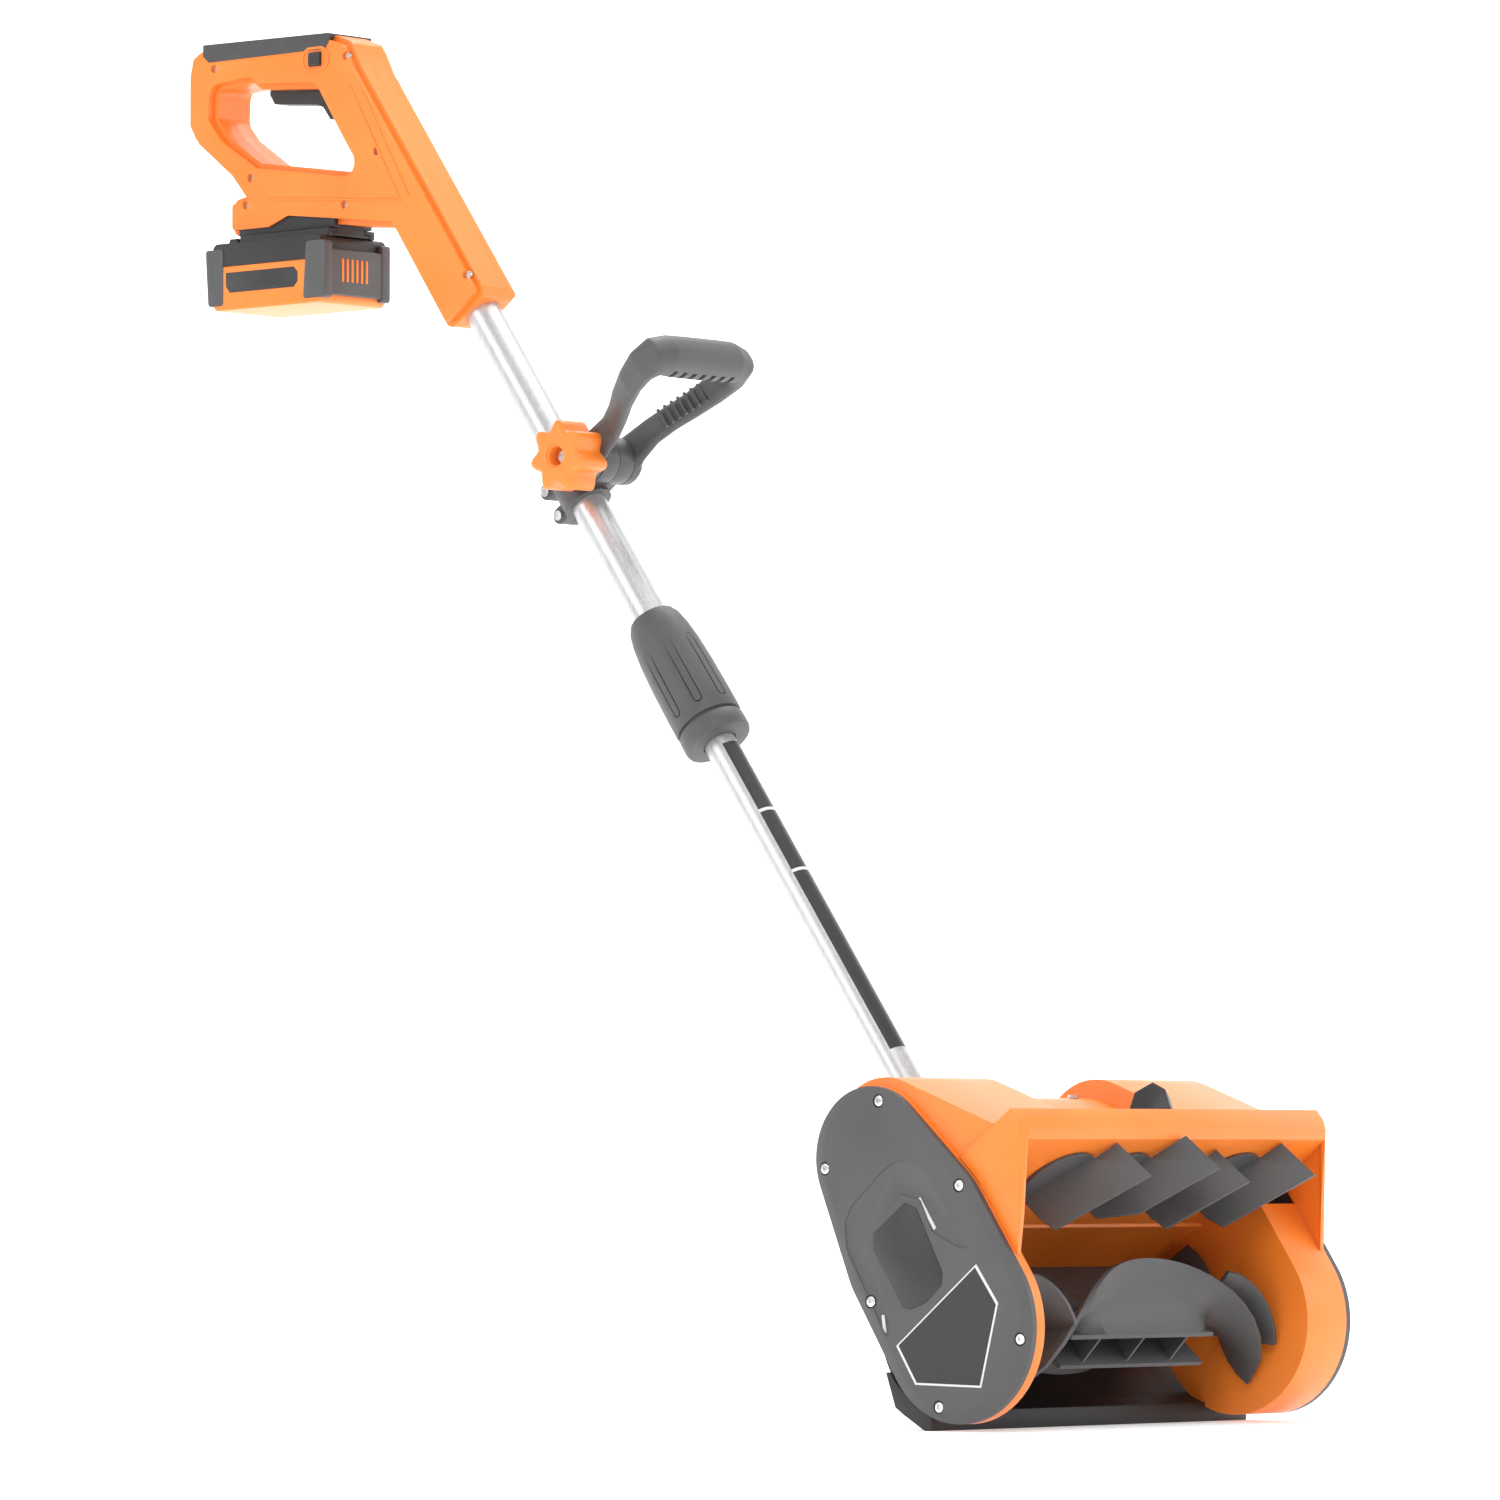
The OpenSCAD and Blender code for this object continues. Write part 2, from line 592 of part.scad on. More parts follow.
// Half of the hub with its flights, shelf plates and gussets, turned about the axis
module auger_body(turn) translate([0, auger_y, auger_z]) rotate([turn, 0, 0])
    translate([0, -auger_y, -auger_z]) difference() {
        union() {
            flights();
            along_x(hub_x[0], hub_x[1]) translate([auger_y, auger_z]) rotate(180 - hub_split) intersection() {
                circle(d = hub_d);
                translate([0, -100]) square([100, 200]);
            }
            // The shelf and the plate below it
            for (a = web_angles) along_x(shelf_x[0], shelf_x[1] + 4) translate([auger_y, auger_z])
                rotate(180 - a) translate([hub_d / 2 - 2, -flight_t / 2])
                    square([shelf_r - hub_d / 2 + 2, flight_t]);
            // Slanting gussets between the two
            for (k = [0:2]) translate([shelf_x[0] + 43 + k * 46, auger_y, auger_z])
                multmatrix([[1, 0, 0.57, 0], [0, 1, 0, 0], [0, 0, 1, 0], [0, 0, 0, 1]])
                along_x(-1, 1) rotate(180)
                polygon([[(hub_d / 2 - 2) * cos(web_angles[0]), -(hub_d / 2 - 2) * sin(web_angles[0])],
                    [(shelf_r - 3) * cos(web_angles[0]), -(shelf_r - 3) * sin(web_angles[0])],
                    [(shelf_r - 3) * cos(web_angles[1]), -(shelf_r - 3) * sin(web_angles[1])],
                    [(hub_d / 2 - 2) * cos(web_angles[1]), -(hub_d / 2 - 2) * sin(web_angles[1])]]);
        }
        along_x(-200, 200) translate([auger_y, auger_z]) {
            circle(d = shaft_d);
            rotate(180 - hub_split) intersection() {
                circle(r = hub_d / 2 + seam);
                translate([-hub_d, -hub_d]) square([hub_d + eps / 2, 2 * hub_d]);
            }
        }
        hub_bolts() {
            cylinder(r = hub_bolt_r, h = 60, center = true);
            for (end = [-1, 1]) translate([0, 0, end * (hub_seat + 15)])
                cylinder(r = hub_bolt_head + seam, h = 30, center = true);
        }
    }
// Repeats its children at each hub bolt, with Z along the bolt and square to the split
hub_split = 60;
hub_bolt_r = 1.6;
hub_bolt_head = 3;
hub_seat = hub_d / 2 - 8.5;
hub_bolt_v = (shaft_d + hub_d) / 4;
module hub_bolts() for (x = [-98, -34, 30, 94]) for (side = [-1, 1])
    translate([x, auger_y, auger_z]) rotate([90 - hub_split, 0, 0])
        translate([0, side * hub_bolt_v, 0]) children();
module auger_shaft() color(steel) translate([-left_x - wall - bearing_w, auger_y, auger_z]) rotate([0, 90, 0])
    cylinder(d = shaft_d, h = left_x + wall + bearing_w + belt_x + belt_w / 2 + 6);
module auger_bolts() color(steel) hub_bolts() {
    cylinder(r = hub_bolt_r, h = 2 * hub_seat, center = true);
    translate([0, 0, hub_seat]) cylinder(r = hub_bolt_head, h = 2);
    translate([0, 0, -hub_seat - 2]) cylinder(r = hub_bolt_head, h = 2, $fn = 6);
}
module auger_pulley() color(charcoal) pulley(auger_y, auger_z, large_pulley_d, shaft_d);

// ---- Vanes ---------------------------------------------------------------------
// Places a piece on the roof's underside, t down the slope: Z points out of the roof's top
module on_roof(x, t) translate([x, lip_y + t * cos(roof_slope), lip_z - t * sin(roof_slope)])
    rotate([-roof_slope, 0, 0]) children();
function vane_x(k) = (k - 1.5) * vane_pitch;
stud_r = 4;
stud_fit = 0.08;
disc_t = 2.4;
vane_front = [47, 57, 38, 47];
vane_heel = [18, -4, 18, 16];
vane_t = 2.6;
module vane(k) color(charcoal) on_roof(vane_x(k), vane_row) rotate(vane_set) {
    translate([0, 0, -disc_t - seam]) cylinder(r = disc_r, h = disc_t);
    translate([0, 0, -seam - eps]) cylinder(r = stud_r, h = wall + 4);
    translate([-vane_t / 2, 0, 0]) rotate([90, 0, 90]) linear_extrude(vane_t)
        polygon([[-vane_front[k], -seam - 0.6], [-vane_front[k] - 9, -vane_h], [vane_heel[k], -vane_h],
            [disc_r * 0.82, -vane_h * 0.62], [disc_r - 1, -disc_t], [disc_r - 1, -disc_t - seam + 0.3],
            [-disc_r + 2, -disc_t]]);
}
module vane_1() vane(0);
module vane_2() vane(1);
module vane_3() vane(2);
module vane_4() vane(3);

// Cranks clip on the studs above the roof's lower skin, under the link
crank_t = 3;
crank_h = wall + 0.6;
pin_r = 2;
pin_fit = 0.08;
module crank_arm() linear_extrude(crank_t) polygon(skin([[0, 0, stud_r + 2.4], [0, crank_r, pin_r + 2]]));
module vane_crank(k) color(black) on_roof(vane_x(k), vane_row) rotate(vane_set) translate([0, 0, crank_h]) {
    difference() {
        crank_arm();
        translate([0, 0, -1]) cylinder(r = stud_r, h = crank_t + 2);
    }
    translate([0, crank_r, 0]) cylinder(r = pin_r, h = crank_t + link_t + 0.6);
}
module vane_crank_1() vane_crank(0);
module vane_crank_2() vane_crank(1);
module vane_crank_3() vane_crank(2);
module vane_crank_4() vane_crank(3);
link_t = 2.5;
// The pins' place at rest, across and along the roof
pin_x = -crank_r * sin(vane_set);
pin_t = crank_r * cos(vane_set);
// The link joins the four cranks, and a tongue on it reaches the lever's crank
module vane_link() color(steel) on_roof(pin_x, vane_row + pin_t) translate([0, 0, crank_h + crank_t + seam])
    difference() {
        union() {
            translate([vane_x(0) - 5, -4.5, 0]) cube([3 * vane_pitch + 10, 9, link_t]);
            linear_extrude(link_t) polygon(skin([[0, 0, 4], [0, lever_row - vane_row, 4]]));
        }
        for (x = [vane_x(0), vane_x(1), vane_x(2), vane_x(3)]) translate([x, 0, -1])
            cylinder(r = pin_r + pin_fit, h = link_t + 2);
        translate([0, lever_row - vane_row, -1]) cylinder(r = pin_r + pin_fit, h = link_t + 2);
    }
module vane_lever() color(black) on_roof(0, lever_row) rotate(vane_set) {
    // Post, with a crank of its own over the lower skin
    cylinder(r = stud_r, h = roof_t + 3);
    translate([0, 0, crank_h]) crank_arm();
    translate([0, crank_r, crank_h]) cylinder(r = pin_r, h = crank_t + link_t + 0.6);
    // Cap and finger knob over the roof
    translate([0, 0, roof_t + 0.6]) cylinder(r = 10, h = 5);
    translate([-9, 0, roof_t + 0.6]) rotate([90, 0, 90]) linear_extrude(18)
        polygon([[9, 0], [9, 8], [-6, 23], [-20, 23], [-25, 14], [-22, 0]]);
}

// ---- Pole: upper tube and twist lock -------------------------------------------
upper_id = lower_d + 2 * tube_fit;
upper_d = upper_id + 2 * tube_t;
handle_s = overlap_s + upper_show;
tube_seat = 120;
module upper_tube() color(alloy) on_pole(overlap_s) difference() {
    cylinder(d = upper_d, h = handle_s - overlap_s + tube_seat);
    translate([0, 0, -1]) cylinder(d = upper_id, h = 1000);
}
collet_l = 22;
collet_s = overlap_s - 8;
module lock_collet() color(black) on_pole(collet_s) difference() {
    union() {
        cylinder(r1 = upper_d / 2 + 1, r2 = upper_d / 2 + 4, h = 8);
        translate([0, 0, 8]) cylinder(r = upper_d / 2 + 4, h = collet_l - 8);
    }
    translate([0, 0, -1]) cylinder(r = lower_d / 2 + tube_fit + 0.02, h = 10);
    translate([0, 0, 8]) cylinder(r = upper_d / 2, h = collet_l);
    for (a = [0:60:359]) rotate(a) translate([-0.6, 0, -1]) cube([1.2, 40, 8]);
}
module lock_sleeve() color(charcoal) on_pole(sleeve_s) difference() {
    rotate_extrude() polygon([[lower_d / 2 + 1, 0], [sleeve_d / 2 - 1.5, 0], [sleeve_d / 2, 2],
        [sleeve_d / 2, 14], [sleeve_d / 2 - 3, 14.5], [sleeve_d / 2 - 3, 17.5], [sleeve_d / 2, 18], [sleeve_d / 2 - 1, 50],
        [sleeve_d / 2 - 4, sleeve_l - 12], [sleeve_d / 2 - 8, sleeve_l], [upper_d / 2 + 0.06, sleeve_l],
        [upper_d / 2 + 0.06, sleeve_l - 14], [upper_d / 2 + 4.5, sleeve_l - 18], [upper_d / 2 + 4.5, 4],
        [lower_d / 2 + 1, 3]]);
    for (a = [0:60:359]) rotate(a + 30) translate([sleeve_d / 2 + 1.4, 0, 24]) rotate([0, -2, 0])
        cylinder(r = 3, h = sleeve_l - 44);
}

// ---- D handle ------------------------------------------------------------------
hand_y = pole_y + handle_s * sin(pole_lean);
hand_z = pole_z + handle_s * cos(pole_lean);
// Places a piece in the handle's own frame, at the collar's mouth on the pole's axis
module at_handle() translate([0, hand_y, hand_z]) children();
// A point v in front of the pole's axis, s up the pole, in the handle's side view
function strut(s, v) = [s * sin(pole_lean) - v * cos(pole_lean), s * cos(pole_lean) + v * sin(pole_lean)];
module handle_outline() difference() {
    offset(r = 7) offset(delta = -7) polygon([strut(-6, collar_r), strut(211, collar_r), [116, 203],
        [134, 209.5], [266, 211.5], [280, 206], [284, 190], [284, 152], [277, 140], [241, 113], [226, 96], [239, 94],
        [239, 67], [196, 67], [176, 74], strut(92, -collar_r + 1), strut(-6, -collar_r)]);
    handle_hole();
}
module handle_hole() offset(r = 6) offset(delta = -6) polygon([[256, 178], [218, 181], [210, 175], [150, 171],
    strut(176, -collar_r - 1), strut(146, -collar_r - 1), [210, 120], [244, 142], [257, 157]]);
// One shell, from the middle plane out to -X
shell_step = 6;
module shell_solid() {
    along_x(-handle_w / 2 + shell_step, 0) handle_outline();
    along_x(-handle_w / 2, -handle_w / 2 + shell_step + eps) offset(delta = -4) handle_outline();
}
module pole_bore() rotate([-pole_lean, 0, 0]) translate([0, 0, -30])
    cylinder(d = upper_d, h = tube_seat + 30);
// The hollow inside a shell, with a post left standing at each screw
module shell_hollow() difference() {
    along_x(-handle_w / 2 + handle_t + 4, 1) offset(delta = -handle_t - 1) handle_outline();
    for (p = handle_screw_places) translate([-handle_w / 2, p[0], p[1]]) rotate([0, 90, 0])
        cylinder(r = post_r, h = handle_w);
}
module handle_shell() difference() {
    shell_solid();
    shell_hollow();
    pole_bore();
    // Slot for the trigger, ways for the button, the pin and the dock
    along_x(-trigger_w / 2 - seam, 1) polygon([[128, 160], [216, 160], [216, 185], [128, 190]]);
    translate([-50, button_y - button_w / 2 - seam, button_z - button_h / 2 - seam])
        cube([100, button_w + 2 * seam, button_h + 2 * seam]);
    translate([0, pin_y, pin_z]) rotate([0, -90, 0]) cylinder(r = 1.5, h = 14);
    translate([-dock_w / 2 - seam, dock_y[0] - seam, 40])
        cube([dock_w, dock_y[1] - dock_y[0] + 2 * seam, dock_top - 40]);
    pad_solid();
}
// Screws join the shells at the posts: [y, z] in the handle's frame
handle_screw_places = [[255, 194], [117, 192], strut(146, 1), [216, 109], [118, 82], [221, 89],
    strut(14, 17.6)];
post_r = 4.5;
screw_r = 1.6;
screw_head_r = 3.2;
module handle_left_shell() color(orange) at_handle() difference() {
    handle_shell();
    for (p = handle_screw_places) translate([-handle_w / 2 - 1, p[0], p[1]]) rotate([0, 90, 0]) {
        cylinder(r = screw_r, h = handle_w);
        cylinder(r = screw_head_r, h = 6);
    }
}
module handle_right_shell() color(orange) at_handle() difference() {
    mirror([1, 0, 0]) handle_shell();
    for (p = handle_screw_places) translate([-1, p[0], p[1]]) rotate([0, 90, 0])
        cylinder(r = screw_r, h = 14);
}
module handle_screws() color(steel) at_handle() for (p = handle_screw_places)
    translate([-handle_w / 2 + 5, p[0], p[1]]) rotate([0, 90, 0]) {
        translate([0, 0, -2.4]) cylinder(r = screw_head_r - 0.2, h = 2.4);
        cylinder(r = screw_r, h = handle_w / 2 + 6);
    }

// Soft pad over the top of the grip
pad_t = 2;
module pad_outline() polygon([[138, 199], [260, 199], [266, 204], [266, 230], [132, 230], [134, 204]]);
module pad_solid() difference() {
    along_x(-handle_w / 2 - 0.6, handle_w / 2 + 0.6) intersection() {
        pad_outline();
        offset(delta = 1) handle_outline();
    }
    along_x(-handle_w / 2 + pad_t, handle_w / 2 - pad_t) offset(delta = -pad_t) handle_outline();
}
module grip_pad() color(charcoal) at_handle() pad_solid();

// Trigger, its pin and spring, the switch and the lock button
trigger_w = 15;
pin_y = 146;
pin_z = 181;
module trigger() color(black) at_handle() difference() {
    along_x(-trigger_w / 2, trigger_w / 2) union() {
        polygon([[141, 186], [150, 186], [209, 180], [210, 172], [205, 164.5], [160, 160.5], [154, 158],
            [146.5, 148.5], [143, 150], [152, 165], [141, 176]]);
    }
    translate([0, pin_y, pin_z]) rotate([0, 90, 0]) cylinder(r = 1.5 + stud_fit, h = 60, center = true);
}
module trigger_pin() color(steel) at_handle() translate([0, pin_y, pin_z]) rotate([0, 90, 0])
    cylinder(r = 1.5, h = 26, center = true);
spring_y = 196;
module trigger_spring() color(steel) at_handle() translate([0, spring_y, 181.8]) difference() {
    cylinder(r = 3, h = 5);
    translate([0, 0, -1]) cylinder(r = 2, h = 8);
}
module switch_body() color(black) at_handle() {
    translate([-8, 160, 190.5]) cube([16, 26, 10]);
    translate([-8, 188, 187]) cube([16, 20, 13.5]);
}
button_y = 148;
button_z = 192;
button_w = 12;
button_h = 10;
module lock_button() color(black) at_handle() translate([0, button_y, button_z])
    translate([-handle_w / 2 - 2.5, -button_w / 2, -button_h / 2]) cube([handle_w + 5, button_w, button_h]);

// Dock under the handle's foot: a T rail that the battery's hooks run along
dock_w = 40;
dock_y = [130, 229.5];
dock_top = 79;
dock_low = 66.5;
rail_w = 38;
rail_neck = 28;
rail_t = 2.6;
rail_gap = 3.5;
module battery_dock() color(black) at_handle() difference() {
    union() {
        translate([-dock_w / 2, dock_y[0], dock_low])
            cube([dock_w, dock_y[1] - dock_y[0], dock_top - dock_low - seam]);
        translate([-rail_neck / 2, dock_y[0] + 2, dock_low - rail_gap - eps])
            cube([rail_neck, dock_y[1] - dock_y[0] - 6, rail_gap + 2 * eps]);
        translate([-rail_w / 2, dock_y[0] + 2, dock_low - rail_gap - rail_t])
            cube([rail_w, dock_y[1] - dock_y[0] - 6, rail_t]);
    }
    for (x = terminal_x) translate([x - terminal_t / 2, terminal_y, dock_low - 10])
        cube([terminal_t, 12, 14]);
}
terminal_x = [-8, 0, 8];
terminal_t = 1.2;
terminal_y = dock_y[0] + 76;
module dock_terminals() color(brass) at_handle() for (x = terminal_x)
    translate([x - terminal_t / 2, terminal_y, dock_low - rail_gap - rail_t]) cube([terminal_t, 12, 9]);

// ---- Battery, in the handle's frame ------------------------------------------------
pack_y = 126;
pack_top = dock_low - rail_gap - rail_t - 0.4;
pack_x = pack_w / 2;
pack_wall = 2.5;
pack_mid = pack_top - 17;
bumper_t = 4;
hook_t = 5;
module pack_outline(inset = 0) offset(r = 5) offset(delta = -5 - inset)
    translate([pack_y + bumper_t, pack_top - pack_h]) square([pack_l - 2 * bumper_t, pack_h]);
module battery_shell() difference() {
    along_x(-pack_x, pack_x) pack_outline();
    along_x(-pack_x + pack_wall, pack_x - pack_wall) pack_outline(pack_wall);
}
latch_w = 28;
latch_h = 6;
latch_z = pack_top - 8;
latch_y = pack_y + pack_l - 3.4;
module battery_upper_case() color(black) at_handle() {
    difference() {
        intersection() {
            battery_shell();
            translate([-100, 0, pack_mid]) cube([200, 400, 100]);
        }
        translate([-latch_w / 2 - seam, latch_y - 8, latch_z - seam])
            cube([latch_w + 2 * seam, 20, latch_h + 2 * seam]);
    }
    // Hooks that run along the dock's rail
    both_sides() translate([0, pack_y + 6, pack_top - eps]) {
        translate([rail_w / 2 + 0.4, 0, 0]) cube([hook_t, 92, rail_gap + rail_t]);
        translate([rail_neck / 2 + 0.4, 0, rail_t + 0.8]) cube([hook_t + 3, 92, rail_gap - 0.8]);
    }
    // Shoulder behind the dock
    along_x(-dock_w / 2, dock_w / 2) translate([dock_y[1] + 1.5, pack_top - 1])
        polygon([[0, 0], [0, 6], [8, 6], [11, 0]]);
}
module battery_lower_case() color(orange) at_handle() intersection() {
    battery_shell();
    translate([-100, 0, pack_mid - 100]) cube([200, 400, 100]);
}
module battery_bumpers() color(charcoal) at_handle() for (y = [pack_y, pack_y + pack_l - bumper_t])
    translate([-pack_x + 3, y, pack_top - pack_h + 6]) cube([pack_w - 6, bumper_t, pack_h - 16]);
module battery_cells() color(steel) at_handle() for (i = [-2:2]) for (j = [0, 1])
    translate([-pack_x + pack_wall + 0.5, pack_y + pack_l / 2 - 3 + i * (cell_d + 1),
        pack_top - pack_h + pack_wall + 0.5 + cell_d / 2 + j * (cell_d + 1)])
        rotate([0, 90, 0]) cylinder(d = cell_d, h = pack_w - 2 * pack_wall - 1);
module battery_latch() color(black) at_handle() translate([-latch_w / 2, latch_y, latch_z])
    cube([latch_w, 4.4, latch_h]);

// ---- Loop handle -----------------------------------------------------------------
pivot_v = 30;
clamp_l = 34;
clamp_r = upper_d / 2 + 5;
boss_w = 30;
boss_r2 = 17;
lug_w = 18;
lug_r = 6;
lug_v = clamp_r + 3;
clamp_screw_s = [lug_r, clamp_l - lug_r];
// The clamp's half on the -X side; both halves meet at the middle plane
module clamp_half() difference() {
    union() {
        cylinder(r = clamp_r, h = clamp_l);
        translate([0, -pivot_v, clamp_l / 2]) rotate([0, 90, 0])
            cylinder(r = boss_r2, h = boss_w, center = true);
        translate([-boss_w / 2, -pivot_v, 4]) cube([boss_w, pivot_v - 6, clamp_l - 8]);
        for (s = clamp_screw_s) translate([-lug_w / 2, 0, s]) {
            translate([0, lug_v, 0]) rotate([0, 90, 0]) cylinder(r = lug_r, h = lug_w);
            translate([0, 0, -lug_r]) cube([lug_w, lug_v, 2 * lug_r]);
        }
    }
    translate([0, 0, -1]) cylinder(r = upper_d / 2, h = clamp_l + 2);
    translate([-seam / 2, -60, -1]) cube([60, 120, clamp_l + 2]);
    translate([0, -pivot_v, clamp_l / 2]) rotate([0, 90, 0]) cylinder(r = 4, h = 80, center = true);
    for (s = clamp_screw_s) translate([0, lug_v, s]) rotate([0, 90, 0])
        cylinder(r = 2, h = 60, center = true);
}
module clamp_left_half() color(charcoal) on_pole(clamp_s - clamp_l / 2) clamp_half();
module clamp_right_half() color(charcoal) on_pole(clamp_s - clamp_l / 2) mirror([1, 0, 0]) clamp_half();
module clamp_screws() color(steel) on_pole(clamp_s - clamp_l / 2) for (s = clamp_screw_s)
    translate([0, lug_v, s]) rotate([0, 90, 0]) {
        cylinder(r = 2, h = lug_w + 1, center = true);
        translate([0, 0, -lug_w / 2 - 2]) cylinder(r = 3.6, h = 2);
        translate([0, 0, lug_w / 2]) cylinder(r = 3.6, h = 2.5, $fn = 6);
    }

// Pivot of the loop, in world terms
pivot_y = pole_y + clamp_s * sin(pole_lean) - pivot_v * cos(pole_lean);
pivot_z = pole_z + clamp_s * cos(pole_lean) + pivot_v * sin(pole_lean);
cheek_t = 9;
cheek_x = boss_w / 2 + seam;
// Places a piece in the loop's frame: Y runs from the pivot to the grip bar
module on_loop() translate([0, pivot_y, pivot_z]) rotate([180 - loop_rise, 0, 0]) children();
module pivot_bolt() color(steel) on_loop() rotate([0, -90, 0]) {
    translate([0, 0, -cheek_x - cheek_t - 3]) cylinder(r = 7, h = 3);
    translate([0, 0, -cheek_x - cheek_t - 1]) cylinder(r = 4, h = 2 * cheek_x + 2 * cheek_t + 20);
}
bar_r = 15;
leg_r = 9;
// A leg starts as a flat strap at the hub and flares out to the bar beyond the knob
strap_end = 38;
module loop_handle() color(charcoal) on_loop() difference() {
    union() {
        both_sides() {
            along_x(cheek_x, cheek_x + cheek_t) polygon(skin([[0, 0, boss_r2], [strap_end, 0, leg_r + 1]]));
            hull() {
                translate([cheek_x, strap_end, 0]) rotate([0, 90, 0])
                    cylinder(r = leg_r, h = cheek_t, $fn = 32);
                translate([loop_w / 2 - leg_r, loop_reach * 0.7, 0]) sphere(r = leg_r, $fn = 24);
            }
            hull() {
                translate([loop_w / 2 - leg_r, loop_reach * 0.7, 0]) sphere(r = leg_r, $fn = 24);
                translate([loop_w / 2 - bar_r - 2, loop_reach, 0]) sphere(r = bar_r, $fn = 24);
            }
        }
        translate([-loop_w / 2 + bar_r + 2, loop_reach, 0]) rotate([0, 90, 0])
            cylinder(r = bar_r, h = loop_w - 2 * bar_r - 4);
    }
    rotate([0, 90, 0]) cylinder(r = 4.06, h = 120, center = true);
}
knob_t = 26;
knob_lobes = 7;
lobe_depth = 3.4;
module star_knob() color(orange) on_loop() translate([-cheek_x - cheek_t - seam, 0, 0])
    rotate([0, -90, 0]) difference() {
    linear_extrude(knob_t) polygon([for (a = [0:4:359])
        (knob_d / 2 - lobe_depth + lobe_depth * cos(knob_lobes * a)) * [cos(a), sin(a)]]);
    translate([0, 0, -1]) cylinder(r = 4 + knob_fit, h = knob_t + 2);
    translate([0, 0, knob_t - 8]) cylinder(r = 7, h = 9);
}
knob_fit = 0.05;

auger_housing();
motor_hood();
chute_hood();
left_side_cover();
right_side_cover();
left_cover_screws();
right_cover_screws();
hood_screws();
scraper_bar();
scraper_screws();
left_bearing();
right_bearing();
motor_can();
motor_screws();
drive_belt();
pole_socket();
lower_tube();
auger_shaft();
auger_front_half();
auger_rear_half();
auger_bolts();
auger_pulley();
motor_shaft();
motor_pulley();
motor_fan();
vane_1();
vane_2();
vane_3();
vane_4();
vane_crank_1();
vane_crank_2();
vane_crank_3();
vane_crank_4();
vane_link();
vane_lever();
upper_tube();
lock_collet();
lock_sleeve();
handle_left_shell();
handle_right_shell();
handle_screws();
grip_pad();
switch_body();
trigger_pin();
trigger();
trigger_spring();
lock_button();
battery_dock();
dock_terminals();
battery_upper_case();
battery_lower_case();
battery_bumpers();
battery_cells();
battery_latch();
clamp_left_half();
clamp_right_half();
clamp_screws();
pivot_bolt();
loop_handle();
star_knob();
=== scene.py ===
import json
from math import acos, atan2, ceil, cos, hypot, pi, radians, sin

import bpy
from mathutils import Matrix, Vector


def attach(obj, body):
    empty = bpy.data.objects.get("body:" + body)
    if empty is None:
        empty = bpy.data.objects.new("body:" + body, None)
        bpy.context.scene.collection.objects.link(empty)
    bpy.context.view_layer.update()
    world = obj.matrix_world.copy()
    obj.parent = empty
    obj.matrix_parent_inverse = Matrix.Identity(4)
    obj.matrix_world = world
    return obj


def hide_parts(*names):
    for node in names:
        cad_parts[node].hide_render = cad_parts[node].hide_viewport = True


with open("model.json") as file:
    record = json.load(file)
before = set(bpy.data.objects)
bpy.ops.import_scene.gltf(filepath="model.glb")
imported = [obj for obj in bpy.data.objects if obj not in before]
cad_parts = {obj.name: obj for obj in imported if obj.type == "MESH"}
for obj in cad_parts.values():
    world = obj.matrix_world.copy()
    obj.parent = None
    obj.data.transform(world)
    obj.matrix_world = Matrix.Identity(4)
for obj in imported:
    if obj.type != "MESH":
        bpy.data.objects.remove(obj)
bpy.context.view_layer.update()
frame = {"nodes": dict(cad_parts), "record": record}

# ---- Camera, floor and lights --------------------------------------------------
# A long lens held low in front of the tool's left, a white paper sweep that the
# tool stands on, and large soft panels as in a small product studio.
bpy.ops.object.camera_add(location=(-4.5051, -3.7466, 0.1826), rotation=(radians(92.706), 0, radians(-48)))
camera = bpy.context.object
camera.data.lens = 206.28
camera.data.sensor_width = 36
camera.data.clip_end = 60
bpy.context.scene.camera = camera
bpy.context.scene.view_settings.view_transform = "Standard"


def only(piece):
    """Deselects all, then selects this piece alone and makes it active."""
    if bpy.context.object and bpy.context.object.mode != "OBJECT":
        bpy.ops.object.mode_set(mode="OBJECT")
    bpy.ops.object.select_all(action="DESELECT")
    piece.select_set(True)
    bpy.context.view_layer.objects.active = piece


class Wire:
    """A shader socket that can be added, multiplied and so on with others or with numbers."""

    def __init__(self, nodes, socket):
        self.nodes, self.socket = nodes, socket

    def maths(self, operation, *values):
        return self.nodes.make("ShaderNodeMath", {"operation": operation}, dict(enumerate(values)))

    def __add__(self, other):
        return self.maths("ADD", self, other)

    def __sub__(self, other):
        return self.maths("SUBTRACT", self, other)

    def __rsub__(self, other):
        return self.maths("SUBTRACT", other, self)

    def __mul__(self, other):
        return self.maths("MULTIPLY", self, other)

    def __lt__(self, other):
        return self.maths("LESS_THAN", self, other)

    def __abs__(self):
        return self.maths("ABSOLUTE", self)

    __radd__, __rmul__ = __add__, __mul__


